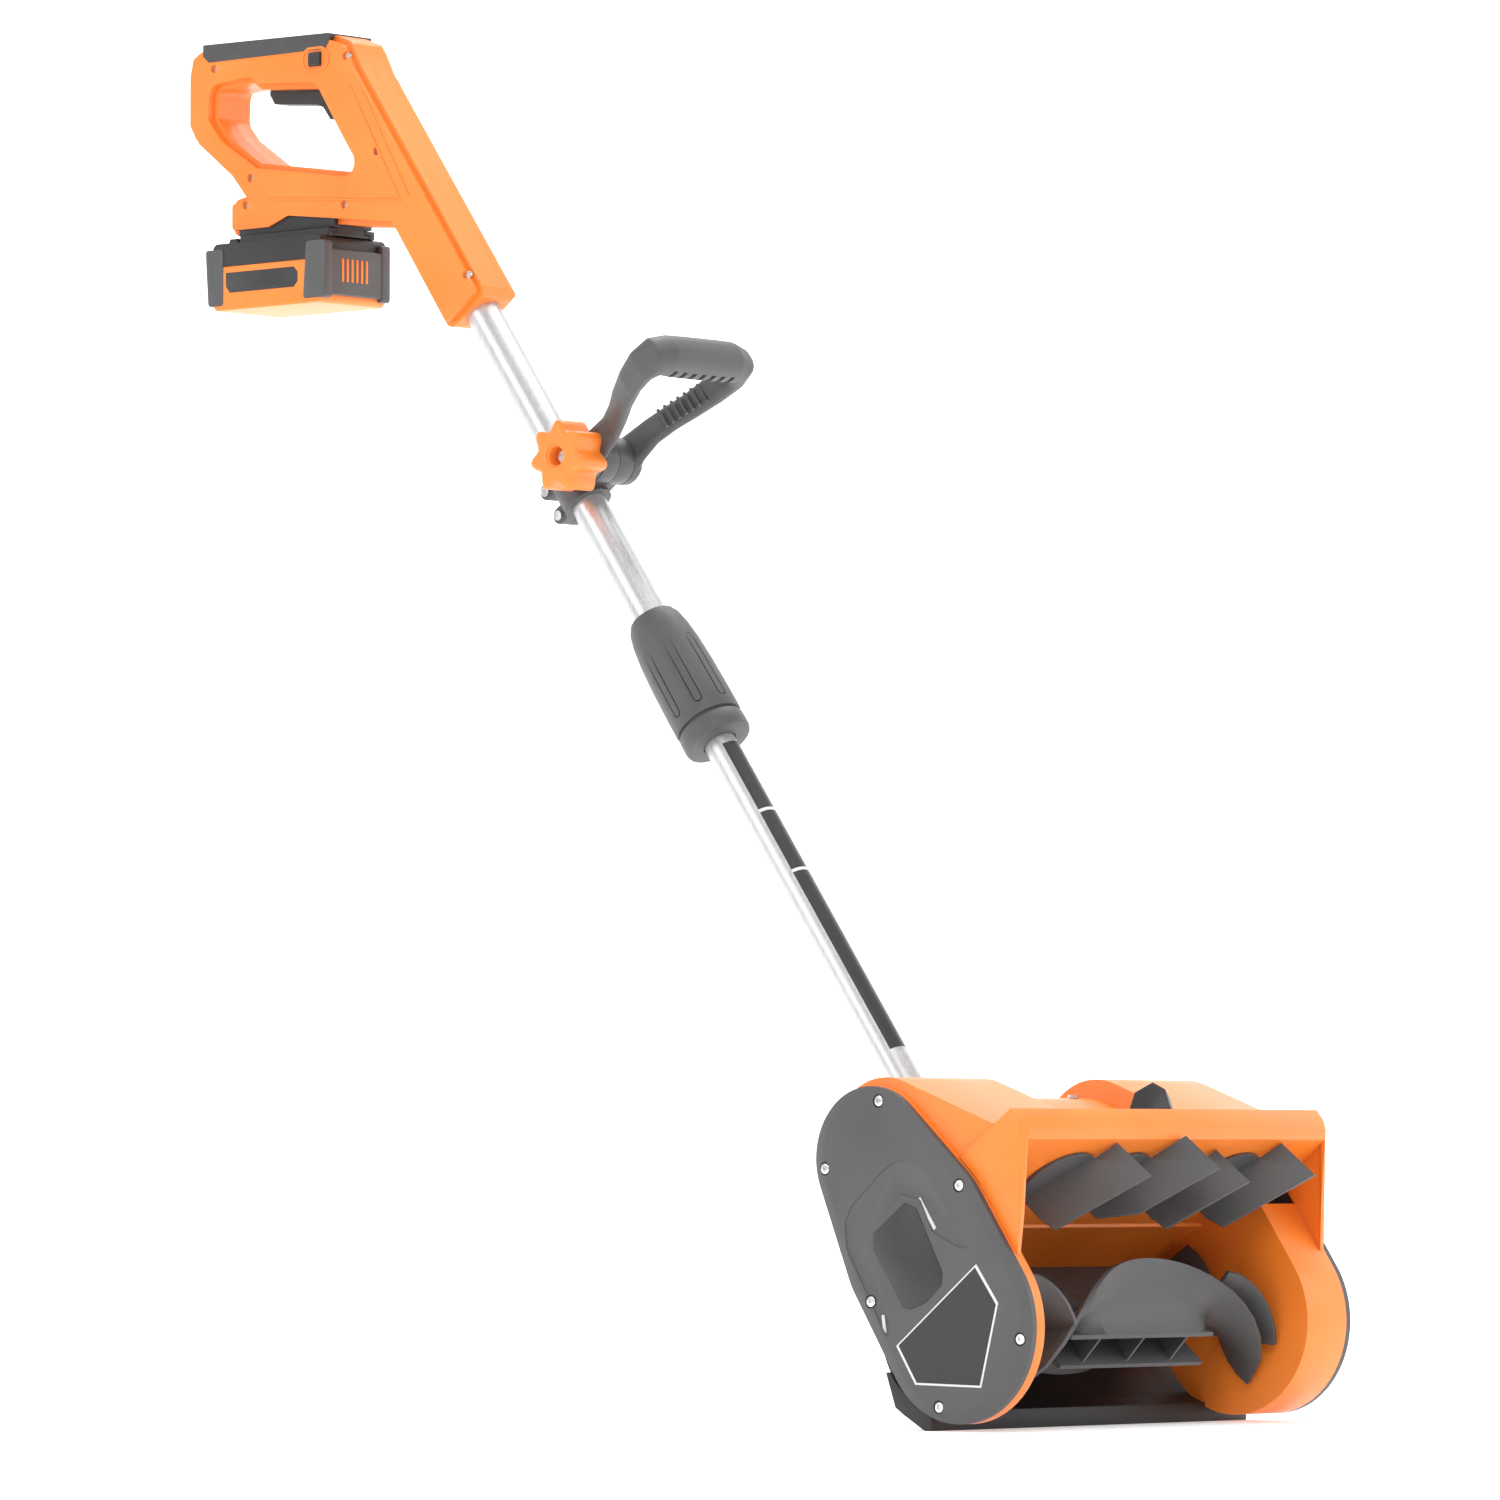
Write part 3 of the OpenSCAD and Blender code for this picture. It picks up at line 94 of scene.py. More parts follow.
class Finish:
    """A material under construction: one Principled shader, and a method that makes any node."""

    def __init__(self, name, **constants):
        self.material = bpy.data.materials.new(name)
        self.material.use_nodes = True
        self.tree = self.material.node_tree
        self.shader = self.tree.nodes["Principled BSDF"]
        for socket, value in constants.items():
            self.shader.inputs[socket.replace("_", " ")].default_value = value

    def make(self, kind, settings, inputs, output=0):
        node = self.tree.nodes.new(kind)
        for key, value in settings.items():
            setattr(node, key, value)
        for key, value in inputs.items():
            if isinstance(value, Wire):
                self.tree.links.new(value.socket, node.inputs[key])
            else:
                node.inputs[key].default_value = value
        return Wire(self, node.outputs[output])

    def place(self, scale=1.0, turn=(0, 0, 0), shift=(0, 0, 0)):
        """Object coordinates, in metres, shifted, turned and scaled."""
        where = self.make("ShaderNodeTexCoord", {}, {}, "Object")
        size = scale if isinstance(scale, tuple) else (scale, scale, scale)
        moved = self.make("ShaderNodeMapping", {}, {"Vector": where, "Location": shift})
        return self.make("ShaderNodeMapping", {"vector_type": "POINT"},
                         {"Vector": moved, "Rotation": turn, "Scale": size})

    def noise(self, scale, detail=3.0, where=None):
        return self.make("ShaderNodeTexNoise", {}, {"Vector": where or self.place(), "Scale": scale,
                                                    "Detail": detail})

    def span(self, value, low, high, out_low=0.0, out_high=1.0):
        return self.make("ShaderNodeMapRange", {}, {"Value": value, 1: low, 2: high, 3: out_low, 4: out_high})

    def mix(self, share, first, second):
        """A colour between two others."""
        return self.make("ShaderNodeMix", {"data_type": "RGBA"}, {0: share, 6: first, 7: second}, 2)

    def feed(self, **wires):
        for socket, wire in wires.items():
            self.tree.links.new(wire.socket, self.shader.inputs[socket.replace("_", " ")])

    def bump(self, *layers):
        """Bumps stacked from (height wire, strength, depth in metres)."""
        normal = None
        for height, strength, depth in layers:
            inputs = {"Height": height, "Strength": strength, "Distance": depth}
            if normal:
                inputs["Normal"] = normal
            normal = self.make("ShaderNodeBump", {}, inputs)
        self.feed(Normal=normal)


sweep_size = 14
bpy.ops.mesh.primitive_plane_add(size=sweep_size, location=(1.0, 1.0, 0))
sweep = bpy.context.object
sweep.name = "studio_sweep"
only(sweep)
bpy.ops.object.mode_set(mode="EDIT")
bpy.ops.mesh.select_all(action="DESELECT")
bpy.ops.object.mode_set(mode="OBJECT")
for edge in sweep.data.edges:
    ends = [sweep.data.vertices[i].co for i in edge.vertices]
    edge.select = all(e.x > 0 for e in ends) or all(e.y > 0 for e in ends)
bpy.ops.object.mode_set(mode="EDIT")
bpy.ops.mesh.extrude_region_move(TRANSFORM_OT_translate={"value": (0, 0, sweep_size / 2)})
bpy.ops.mesh.select_all(action="SELECT")
bpy.ops.mesh.bevel(offset=1.2, segments=12, affect="EDGES")
bpy.ops.object.mode_set(mode="OBJECT")
bpy.ops.object.shade_smooth()
pale = Finish("pale_paper", Roughness=0.9, Emission_Color=(1, 1, 1, 1), Emission_Strength=0.36)
grain = pale.noise(30)
pale.feed(Base_Color=pale.mix(pale.span(grain, 0.3, 0.7), (0.94, 0.94, 0.94, 1), (0.96, 0.96, 0.96, 1)))
sweep.data.materials.append(pale.material)

for name, place, size, power, tint in (
        ("key_panel", (-3.2, -3.0, 3.2), 2.6, 78, (1, 0.99, 0.97)),
        ("left_panel", (-3.4, 1.6, 1.8), 2.2, 34, (0.97, 0.98, 1)),
        ("right_panel", (2.6, -3.0, 1.8), 2.4, 40, (1, 1, 1)),
        ("top_panel", (0.2, 0.3, 4.2), 3.4, 74, (1, 1, 1)),
        ("sweep_panel", (2.2, 2.0, 4.6), 4.0, 230, (1, 1, 1))):
    bpy.ops.object.light_add(type="AREA", location=place)
    panel = bpy.context.object
    panel.name = name
    panel.data.shape = "SQUARE"
    panel.data.size = size
    panel.data.energy = power
    panel.data.color = tint
    aim = (3.5, 3.2, 0.6) if name == "sweep_panel" else (0.0, 0.25, 0.45)
    panel.rotation_euler = (Vector(aim) - Vector(place)).to_track_quat("-Z", "Y").to_euler()
world = bpy.data.worlds.new("studio")
bpy.context.scene.world = world
world.use_nodes = True
world.node_tree.nodes["Background"].inputs["Color"].default_value = (1, 1, 1, 1)
world.node_tree.nodes["Background"].inputs["Strength"].default_value = 0.62

# ---- Housing, motor hood and chute hood ----------------------------------------------
# Three injection mouldings in glossy orange ABS, screwed together along the seam
# halfway up. The mould eases every edge, and the grain is a fine spark finish.
orange = Finish("orange_abs", Roughness=0.38, IOR=1.5)
cloud = orange.noise(9, 2)
speck = orange.noise(900, 2)
orange.feed(Base_Color=orange.mix(orange.span(cloud, 0.35, 0.65),
                                  (0.81, 0.195, 0.020, 1), (0.86, 0.222, 0.026, 1)),
            Roughness=orange.span(cloud + speck * 0.4, 0.4, 1.0, 0.30, 0.43))
orange.bump((speck, 0.10, 0.00022))


def smooth(piece, angle=35):
    """Shades the piece smooth, but for edges sharper than this many degrees."""
    only(piece)
    bpy.ops.object.shade_smooth_by_angle(angle=radians(angle))


def round_edges(piece, width, steps=3, sharp=30):
    """Eases the sharp edges by this many millimetres."""
    only(piece)
    bpy.ops.object.modifier_add(type="BEVEL")
    bevel = piece.modifiers[-1]
    bevel.width = width / 1000
    bevel.segments = steps
    bevel.limit_method = "ANGLE"
    bevel.angle_limit = radians(sharp)
    bpy.ops.object.modifier_apply(modifier=bevel.name)
    smooth(piece)


def set_in_place(piece, name, finish, body, *stands_for):
    """Names and coats a piece, lets it ride with its body and hides the CAD nodes it stands for."""
    piece.name = name
    piece.data.name = name
    piece.data.materials.clear()
    piece.data.materials.append(finish.material)
    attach(piece, body)
    if stands_for:
        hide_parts(*stands_for)


def merged_copy(node):
    """A copy of a CAD node with its loose triangles merged into faces."""
    only(frame["nodes"][node])
    bpy.ops.object.duplicate()
    piece = bpy.context.object
    piece.parent = None
    for key in list(piece.keys()):
        del piece[key]
    bpy.ops.object.mode_set(mode="EDIT")
    bpy.ops.mesh.select_all(action="SELECT")
    bpy.ops.mesh.remove_doubles(threshold=0.00001)
    bpy.ops.mesh.dissolve_limited(angle_limit=radians(1.5))
    bpy.ops.object.mode_set(mode="OBJECT")
    return piece


for node, ease in (("auger_housing", 3.5), ("motor_hood", 4), ("chute_hood", 2.4)):
    moulding = merged_copy(node)
    round_edges(moulding, ease)
    set_in_place(moulding, node + "_moulding", orange, "head", node)

# ---- Side covers ---------------------------------------------------------------------
# Charcoal nylon plates over the two end cases: a bevelled rim, a sunken hooked channel,
# two raised badge plates left blank, and six screws in round pockets.
charcoal = Finish("charcoal_nylon", Roughness=0.5, IOR=1.48)
cloud = charcoal.noise(14, 3)
speck = charcoal.noise(1100, 2)
charcoal.feed(Base_Color=charcoal.mix(charcoal.span(cloud + speck * 0.5, 0.5, 1.0),
                                      (0.060, 0.060, 0.062, 1), (0.082, 0.082, 0.084, 1)),
              Roughness=charcoal.span(cloud, 0.3, 0.7, 0.42, 0.56))
charcoal.bump((speck, 0.2, 0.0003))

dark = Finish("dark_inlay", Roughness=0.4, IOR=1.48)
grainy = dark.noise(900, 2)
dark.feed(Base_Color=dark.mix(dark.span(grainy, 0.3, 0.7),
                              (0.016, 0.016, 0.017, 1), (0.026, 0.026, 0.027, 1)))

# Light grey paint standing in for painted highlights: the glints along the cover channel's edges and along
# the lever's rim.
painted_glint = Finish("painted_highlight_grey", Metallic=0.55, Roughness=0.38)
flake = painted_glint.noise(1500, 2)
painted_glint.feed(Base_Color=painted_glint.mix(painted_glint.span(flake, 0.3, 0.7), (0.50, 0.50, 0.51, 1), (0.64, 0.64, 0.65, 1)))

cream = Finish("printed_line", Roughness=0.55)
fleck = cream.noise(1200, 2)
cream.feed(Base_Color=cream.mix(cream.span(fleck, 0.3, 0.7), (0.62, 0.62, 0.61, 1), (0.72, 0.72, 0.71, 1)))

zinc = Finish("zinc_plate", Metallic=1.0, Roughness=0.28)
cloud = zinc.noise(160, 3)
zinc.feed(Base_Color=zinc.mix(zinc.span(cloud, 0.3, 0.7), (0.60, 0.60, 0.59, 1), (0.78, 0.78, 0.77, 1)),
          Roughness=zinc.span(cloud, 0.3, 0.7, 0.2, 0.36))


def plate(outline, x0, x1):
    """A prism across the tool, from x0 to x1, with this outline of (y, z) corners, all in mm."""
    if bpy.context.object and bpy.context.object.mode != "OBJECT":
        bpy.ops.object.mode_set(mode="OBJECT")
    bpy.ops.object.select_all(action="DESELECT")
    bpy.ops.mesh.primitive_circle_add(vertices=len(outline), radius=0.1, fill_type="NGON")
    piece = bpy.context.object
    for corner, (y, z) in zip(piece.data.vertices, outline):
        corner.co = (x0 / 1000, y / 1000, z / 1000)
    bpy.ops.object.mode_set(mode="EDIT")
    bpy.ops.mesh.select_all(action="SELECT")
    bpy.ops.mesh.extrude_region_move(TRANSFORM_OT_translate={"value": ((x1 - x0) / 1000, 0, 0)})
    bpy.ops.mesh.select_all(action="SELECT")
    bpy.ops.mesh.normals_make_consistent(inside=False)
    bpy.ops.object.mode_set(mode="OBJECT")
    return piece


def settle(piece):
    """Puts the place of an object into its mesh."""
    only(piece)
    bpy.ops.object.transform_apply(location=True, rotation=True, scale=True)


def rod(x, y, z, radius, length, along=(1, 0, 0), sides=32):
    """A cylinder centred at a place in mm, lying along a direction."""
    bpy.ops.object.select_all(action="DESELECT")
    bpy.ops.mesh.primitive_cylinder_add(
        vertices=sides, radius=radius / 1000, depth=length / 1000, location=(x / 1000, y / 1000, z / 1000),
        rotation=Vector(along).to_track_quat("Z", "Y").to_euler())
    piece = bpy.context.object
    settle(piece)
    return piece


def join(pieces):
    """One object made of all these."""
    only(pieces[0])
    for piece in pieces[1:]:
        piece.select_set(True)
    if len(pieces) > 1:
        bpy.ops.object.join()
    return pieces[0]


def carve(piece, *tools, keep="DIFFERENCE"):
    """Cuts the tools out of a piece, or joins them to it, and clears them away."""
    for tool in tools:
        only(piece)
        bpy.ops.object.modifier_add(type="BOOLEAN")
        cutter = piece.modifiers[-1]
        cutter.operation = keep
        cutter.solver = "EXACT"
        cutter.object = tool
        bpy.ops.object.modifier_apply(modifier=cutter.name)
        bpy.data.objects.remove(tool)
    return piece


def around(circles, grow=0.0, step=6):
    """The outline stretched round circles named anticlockwise, each (y, z, radius)."""
    def leave(a, b):
        return atan2(b[1] - a[1], b[0] - a[0]) - acos((a[2] - b[2]) / hypot(b[0] - a[0], b[1] - a[1]))
    points = []
    for i, c in enumerate(circles):
        start = leave(circles[i - 1], c)
        sweep_angle = (leave(c, circles[(i + 1) % len(circles)]) - start) % (2 * pi)
        count = ceil(sweep_angle / radians(step)) + 1
        for k in range(count + 1):
            a = start + sweep_angle * k / count
            points.append((c[0] + (c[2] + grow) * cos(a), c[1] + (c[2] + grow) * sin(a)))
    return points


case_low, case_mid, case_top = (-28, 70, 65), (9, 125, 64), (49, 181, 48.5)
case = (case_low, case_mid, case_top, case_mid)
cover_screws = [(c[0] + (c[2] - 9) * cos(radians(a)), c[1] + (c[2] - 9) * sin(radians(a)))
                for c, a in ((case_top, 103), (case_top, -10), (case_mid, 136), (case_mid, -46),
                             (case_low, 188), (case_low, -74.5))]
channel = ((32.9, 61.4), (68.4, 119.8), (70.2, 138.6), (64.8, 148.6), (38.1, 172.1), (27.5, 178.1),
           (18.6, 179.4), (7.2, 177.5), (-4.3, 168.8), (-14.8, 154.9), (-40.9, 121.3), (-30.5, 121.9),
           (-7.7, 131.7), (3.7, 153.5), (19.5, 156.8), (48.8, 130), (48.8, 120), (29.3, 74.8), (29.4, 64.1))
badge = ((16.9, 151.5), (6.3, 148.2), (-16.5, 105.9), (-15.6, 96.6), (-1.5, 85.1), (11.7, 80.3), (17.9, 81.6),
         (44.4, 120), (44.4, 131.3))
low_badge = ((-46.1, 111.4), (-65.2, 85.9), (-50.4, 29.6), (7.3, 30.6), (24.1, 56.2))


def shrunk(outline, share):
    """An outline drawn in towards its middle."""
    my = sum(p[0] for p in outline) / len(outline)
    mz = sum(p[1] for p in outline) / len(outline)
    return [(my + (y - my) * share, mz + (z - mz) * share) for y, z in outline]


for side, name in ((-1, "left"), (1, "right")):
    cover = plate(around(case, step=4), side * 165, side * 169.4)
    only(cover)
    bpy.ops.object.mode_set(mode="EDIT")
    bpy.ops.mesh.select_all(action="DESELECT")
    bpy.ops.object.mode_set(mode="OBJECT")
    for face in cover.data.polygons:
        face.select = abs(face.normal.x) > 0.9 and face.center.x * side > 0.169
    bpy.ops.object.mode_set(mode="EDIT")
    bpy.ops.mesh.inset(thickness=0.0075, depth=0.0022)
    bpy.ops.mesh.inset(thickness=0.0012, depth=0.0)
    bpy.ops.object.mode_set(mode="OBJECT")
    sunk = plate(channel, side * 170.4, side * 174)
    round_edges(sunk, 2.0, 2, 20)
    pockets = [rod(side * 172, y, z, 4.6, 6) for y, z in cover_screws]
    carve(cover, sunk, *pockets)
    smooth(cover, 30)
    set_in_place(cover, name + "_cover", charcoal, "head", name + "_side_cover")
    first = plate(badge, side * 171, side * 172)
    round_edges(first, 0.4, 2)
    set_in_place(first, name + "_cover_badge", dark, "head")
    second = plate(low_badge, side * 171, side * 171.9)
    round_edges(second, 0.4, 2)
    set_in_place(second, name + "_cover_low_badge", cream, "head")
    field = plate(shrunk(low_badge, 0.955), side * 171.4, side * 172.0)
    set_in_place(field, name + "_cover_low_field", dark, "head")
    # Two thin light grey strips along the sunken channel's edges are painted highlights, where its rim
    # catches the light.
    highlight_strips = []
    for (y0, z0), (y1, z1) in (((4.5, 154.8), (-9.5, 134.3)), ((36.4, 76.7), (34.7, 64.7))):
        run = hypot(y1 - y0, z1 - z0)
        oy, oz = -(z1 - z0) / run * 1.3, (y1 - y0) / run * 1.3
        highlight_strips.append(plate(((y0 + oy, z0 + oz), (y0 - oy, z0 - oz), (y1 - oy, z1 - oz), (y1 + oy, z1 + oz)),
                             side * 169.6, side * 171.0))
    bar = join(highlight_strips)
    set_in_place(bar, name + "_cover_highlight_strips", painted_glint, "head")
    heads = []
    for y, z in cover_screws:
        head = rod(side * 170.2, y, z, 3.8, 2.6)
        round_edges(head, 0.9, 3)
        socket = rod(side * 171.5, y, z, 1.6, 2.4, sides=6)
        heads.append(carve(head, socket))
    screws = join(heads)
    smooth(screws)
    set_in_place(screws, name + "_cover_screw_heads", zinc, "head", name + "_cover_screws")

# ---- Scraper, pole and twist lock -------------------------------------------------------
# A black nylon scraper closes the trough's underside. Two drawn aluminium tubes slide in
# each other, and the charcoal sleeve over the joint turns to grip the inner one.
black = Finish("black_nylon", Roughness=0.48, IOR=1.48)
cloud = black.noise(16, 3)
speck = black.noise(1000, 2)
black.feed(Base_Color=black.mix(black.span(cloud + speck * 0.5, 0.5, 1.0),
                                (0.012, 0.012, 0.013, 1), (0.026, 0.025, 0.025, 1)),
           Roughness=black.span(cloud, 0.3, 0.7, 0.42, 0.58))
black.bump((speck, 0.2, 0.0003))
scraper = merged_copy("scraper_bar")
round_edges(scraper, 0.8, 2)
set_in_place(scraper, "scraper", black, "head", "scraper_bar")

# The tubes' grain runs along the pole, which leans 35.9 degrees from upright
lean = radians(35.9)
alloy = Finish("satin_tube", Metallic=0.7, Roughness=0.36)
along = alloy.place((900, 900, 6), turn=(lean, 0, 0))
drawn = alloy.noise(1.0, 2, along)
alloy.feed(Base_Color=alloy.mix(alloy.span(drawn, 0.3, 0.7),
                                (0.50, 0.505, 0.515, 1), (0.60, 0.605, 0.615, 1)),
           Roughness=alloy.span(drawn, 0.3, 0.7, 0.28, 0.40))
alloy.bump((drawn, 0.05, 0.0001))

# Up the pole, with -Y to its front
pole_place = Matrix.Translation((0, 0.178, 0.253)) @ Matrix.Rotation(-lean, 4, "X")


def lathe(profile, sides=64):
    """A body turned about Z from a closed list of (radius, height) corners in mm."""
    bpy.ops.object.select_all(action="DESELECT")
    bpy.ops.mesh.primitive_circle_add(vertices=len(profile), radius=0.1, fill_type="NOTHING")
    piece = bpy.context.object
    for corner, (r, z) in zip(piece.data.vertices, profile):
        corner.co = (r / 1000, 0, z / 1000)
    bpy.ops.object.mode_set(mode="EDIT")
    bpy.ops.mesh.select_all(action="SELECT")
    bpy.ops.mesh.spin(steps=sides, angle=2 * pi, center=(0, 0, 0), axis=(0, 0, 1))
    bpy.ops.mesh.select_all(action="SELECT")
    bpy.ops.mesh.remove_doubles(threshold=0.000002)
    bpy.ops.mesh.normals_make_consistent(inside=False)
    bpy.ops.object.mode_set(mode="OBJECT")
    return piece


sleeve = lathe(((12.6, 274), (21.5, 274), (24, 274.8), (25, 277), (25, 287), (24.4, 288.2), (22.6, 288.6),
                (22.6, 290.6), (24.6, 291), (25.2, 292.5), (25.1, 310), (24.6, 335), (23.6, 355), (22.0, 370),
                (19.8, 380), (17.2, 385), (14.6, 386), (13.3, 386), (13.3, 372), (17, 368), (17, 278),
                (12.6, 276)))
ovals = []
for k in range(8):
    oval = plate(around(((0, 302, 3.4), (0, 352, 3.4))), 23.4, 29)
    oval.data.transform(Matrix.Rotation(radians(-6 + 45 * k), 4, "Z"))
    inner = plate(around(((0, 302, 2.5), (0, 352, 2.5))), 20, 30)
    inner.data.transform(Matrix.Rotation(radians(-6 + 45 * k), 4, "Z"))
    ovals.append(carve(oval, inner))
carve(sleeve, join(ovals))
sleeve.data.transform(pole_place)
smooth(sleeve, 40)
set_in_place(sleeve, "twist_sleeve", charcoal, "sleeve", "lock_sleeve")

# A black film strip wraps the front of the lower tube, with two pale ring lines
bpy.ops.object.select_all(action="DESELECT")
bpy.ops.mesh.primitive_cylinder_add(vertices=96, radius=0.01180, depth=0.268, location=(0, 0, 0.133),
                                    end_fill_type="NOTHING")
strip = bpy.context.object
settle(strip)
bpy.ops.object.mode_set(mode="EDIT")
bpy.ops.mesh.select_all(action="DESELECT")
bpy.ops.object.mode_set(mode="OBJECT")
for face in strip.data.polygons:
    face.select = face.normal.y > -0.68
bpy.ops.object.mode_set(mode="EDIT")
bpy.ops.mesh.delete(type="FACE")
bpy.ops.object.mode_set(mode="OBJECT")
bpy.ops.object.modifier_add(type="SOLIDIFY")
strip.modifiers[-1].thickness = -0.00012
bpy.ops.object.modifier_apply(modifier=strip.modifiers[-1].name)
strip.data.transform(pole_place)
film = Finish("black_film", Roughness=0.3, IOR=1.5)
up = film.make("ShaderNodeVectorMath", {"operation": "DOT_PRODUCT"},
               {0: film.place(shift=(0, -0.178, -0.253)), 1: (0, sin(lean), cos(lean))}, 1)
rings = (abs(up - 0.154) < 0.0012) + (abs(up - 0.207) < 0.0012)
smudge = film.noise(60)
film.feed(Base_Color=film.mix(rings, film.mix(smudge, (0.018, 0.018, 0.020, 1), (0.034, 0.034, 0.036, 1)),
                              (0.7, 0.7, 0.7, 1)))
smooth(strip, 40)
set_in_place(strip, "tube_strip", film, "head")

# ---- Auger --------------------------------------------------------------------------------
# Two moulded halves of charcoal nylon bolted round a steel shaft. Each carries a broad
# arched flight that feeds the snow to the middle, a shelf with slanting gussets, and two
# short flights at the ends.
rotor = Finish("auger_nylon", Roughness=0.44, IOR=1.48)
cloud = rotor.noise(14, 3)
speck = rotor.noise(1100, 2)
rotor.feed(Base_Color=rotor.mix(rotor.span(cloud + speck * 0.5, 0.5, 1.0),
                                (0.052, 0.052, 0.054, 1), (0.074, 0.074, 0.076, 1)),
           Roughness=rotor.span(cloud, 0.3, 0.7, 0.40, 0.52))
rotor.bump((speck, 0.2, 0.0003))
for node in ("auger_front_half", "auger_rear_half"):
    half = merged_copy(node)
    round_edges(half, 0.5, 2, 50)
    smooth(half, 42)
    set_in_place(half, node + "_moulding", rotor, "auger", node)

# ---- Vanes and their lever ------------------------------------------------------------------
# Four vanes hang under the roof on studs and turn together. The finger lever on top carries a
# painted highlight: a thin light grey strip along the rim of its top and sloping back.
for k, body in enumerate(("first_vane", "second_vane", "third_vane", "fourth_vane")):
    vane = merged_copy("vane_%d" % (k + 1))
    round_edges(vane, 0.7, 3)
    set_in_place(vane, body + "_blade", charcoal, body, "vane_%d" % (k + 1))
lever = merged_copy("vane_lever")
round_edges(lever, 1.6, 4)
set_in_place(lever, "lever_knob", dark, "lever", "vane_lever")
lever_place = (Matrix.Translation((0, -0.080 + 0.020 * cos(radians(36)), 0.194 - 0.020 * sin(radians(36))))
               @ Matrix.Rotation(radians(-36), 4, "X") @ Matrix.Rotation(radians(33), 4, "Z"))
# A thin light grey strip along the lever's rim, a painted highlight of its glossy edge.
rim_highlight = plate(((-7.5, 46.2), (-18.8, 46.2), (-23.2, 39.0), (-21.6, 28.6), (-20.8, 28.6), (-22.2, 38.8),
               (-18.4, 45.4), (-7.5, 45.4)), -6.6, 6.6)
rim_highlight.data.transform(Matrix.Translation((0, -0.0006, 0.0016)))
round_edges(rim_highlight, 0.3, 2)
rim_highlight.data.transform(lever_place)
set_in_place(rim_highlight, "lever_painted_highlight", painted_glint, "lever")

# ---- Loop handle, its clamp and star knob ------------------------------------------------------
# Two clamp halves are screwed round the upper tube. The charcoal loop tilts between them on
# a bolt that the orange star knob tightens.
for node in ("clamp_left_half", "clamp_right_half"):
    half = merged_copy(node)
    round_edges(half, 1.2, 3)
    set_in_place(half, node + "_moulding", charcoal, "upper_pole", node)


def strand(rings, sides=28, square=0.8):
    """A limb through rings of (centre, half width along X, half height, lean of the ring)."""
    def ring(centre, across, high, tilt):
        points = []
        for i in range(sides):
            a = 2 * pi * i / sides
            u = across * (abs(cos(a)) ** square) * (1 if cos(a) > 0 else -1)
            v = high * (abs(sin(a)) ** square) * (1 if sin(a) > 0 else -1)
            points.append((Vector(centre) + Vector((u * cos(tilt), u * sin(tilt), v))) / 1000)
        return points
    bpy.ops.object.select_all(action="DESELECT")
    bpy.ops.mesh.primitive_circle_add(vertices=sides, radius=0.1, fill_type="NGON")
    piece = bpy.context.object
    now = ring(*rings[0])
    for corner, point in zip(piece.data.vertices, now):
        corner.co = point
    for following in rings[1:]:
        bpy.ops.object.mode_set(mode="EDIT")
        bpy.ops.mesh.extrude_region_move(TRANSFORM_OT_translate={"value": (0, 0, 0)})
        bpy.ops.object.mode_set(mode="OBJECT")
        target = ring(*following)
        for corner in [v for v in piece.data.vertices if v.select]:
            k = min(range(sides), key=lambda i: (corner.co - now[i]).length)
            corner.co = target[k]
        now = target
    bpy.ops.object.mode_set(mode="EDIT")
    bpy.ops.mesh.select_all(action="SELECT")
    bpy.ops.mesh.normals_make_consistent(inside=False)
    bpy.ops.object.mode_set(mode="OBJECT")
    return piece


def melt(piece, voxel, rounds):
    """Fuses crossing shapes into one skin and eases its corners."""
    only(piece)
    bpy.ops.object.modifier_add(type="REMESH")
    piece.modifiers[-1].mode = "VOXEL"
    piece.modifiers[-1].voxel_size = voxel / 1000
    bpy.ops.object.modifier_apply(modifier=piece.modifiers[-1].name)
    bpy.ops.object.modifier_add(type="SMOOTH")
    piece.modifiers[-1].factor = 0.5
    piece.modifiers[-1].iterations = rounds
    bpy.ops.object.modifier_apply(modifier=piece.modifiers[-1].name)
    bpy.ops.object.shade_smooth()


# Worked in the loop's own frame: X across, Y from the bolt to the grip bar
loop_place = Matrix.Translation((0, 0.45157, 0.68209)) @ Matrix.Rotation(radians(180 - 36.5), 4, "X")
ring_path = ((20.0, 2, 4.4, 15.5, 0), (20.0, 18, 4.4, 12.5, 0), (21.5, 34, 4.6, 10.5, -0.3),
             (28, 50, 5.2, 10, -0.55), (37, 66, 6.0, 10.2, -0.5), (44.5, 84, 7.0, 11, -0.25),
             (47.5, 100, 8.6, 12.5, 0.25), (43.5, 111, 12.5, 13.6, 0.95), (33, 113, 13.4, 14.2, 1.45),
             (16, 113, 13.6, 14.4, pi / 2), (0, 113, 13.6, 14.4, pi / 2))
limb = [((x, y, 0), a, h, t) for x, y, a, h, t in ring_path]
other = [((-x, y, 0), a, h, pi - t) for x, y, a, h, t in reversed(ring_path[:-1])]
loop = strand(limb + other)
hubs = [rod(s * 19.8, 0, 0, 17, 9, sides=48) for s in (-1, 1)]
loop = join([loop] + hubs)
melt(loop, 1.0, 5)
slots = []
for k in range(7):
    slot = rod(-30 + 10 * k, 104, 5.5, 12.2, 4.2, sides=40)
    slots.append(slot)
carve(loop, join(slots))
ribs = []
for k in range(7):
    x, y = 25.5 + 2.55 * k, 46 + 5.0 * k
    rib = rod(x, y, 0, 1.3, 15.5, (0, 0, 1), 12)
    rib.data.transform(Matrix.Translation((-0.0058, 0.0031, 0)))
    ribs.append(rib)
ridge = join(ribs)
bore = rod(0, 0, 0, 4.1, 80)
gap = plate(((-30, -30), (24, -30), (24, 30), (-30, 30)), -15.3, 15.3)
carve(loop, bore, gap)
loop = carve(loop, ridge, keep="UNION")
loop.data.transform(loop_place)
smooth(loop, 40)
set_in_place(loop, "loop_grip_handle", charcoal, "loop", "loop_handle")

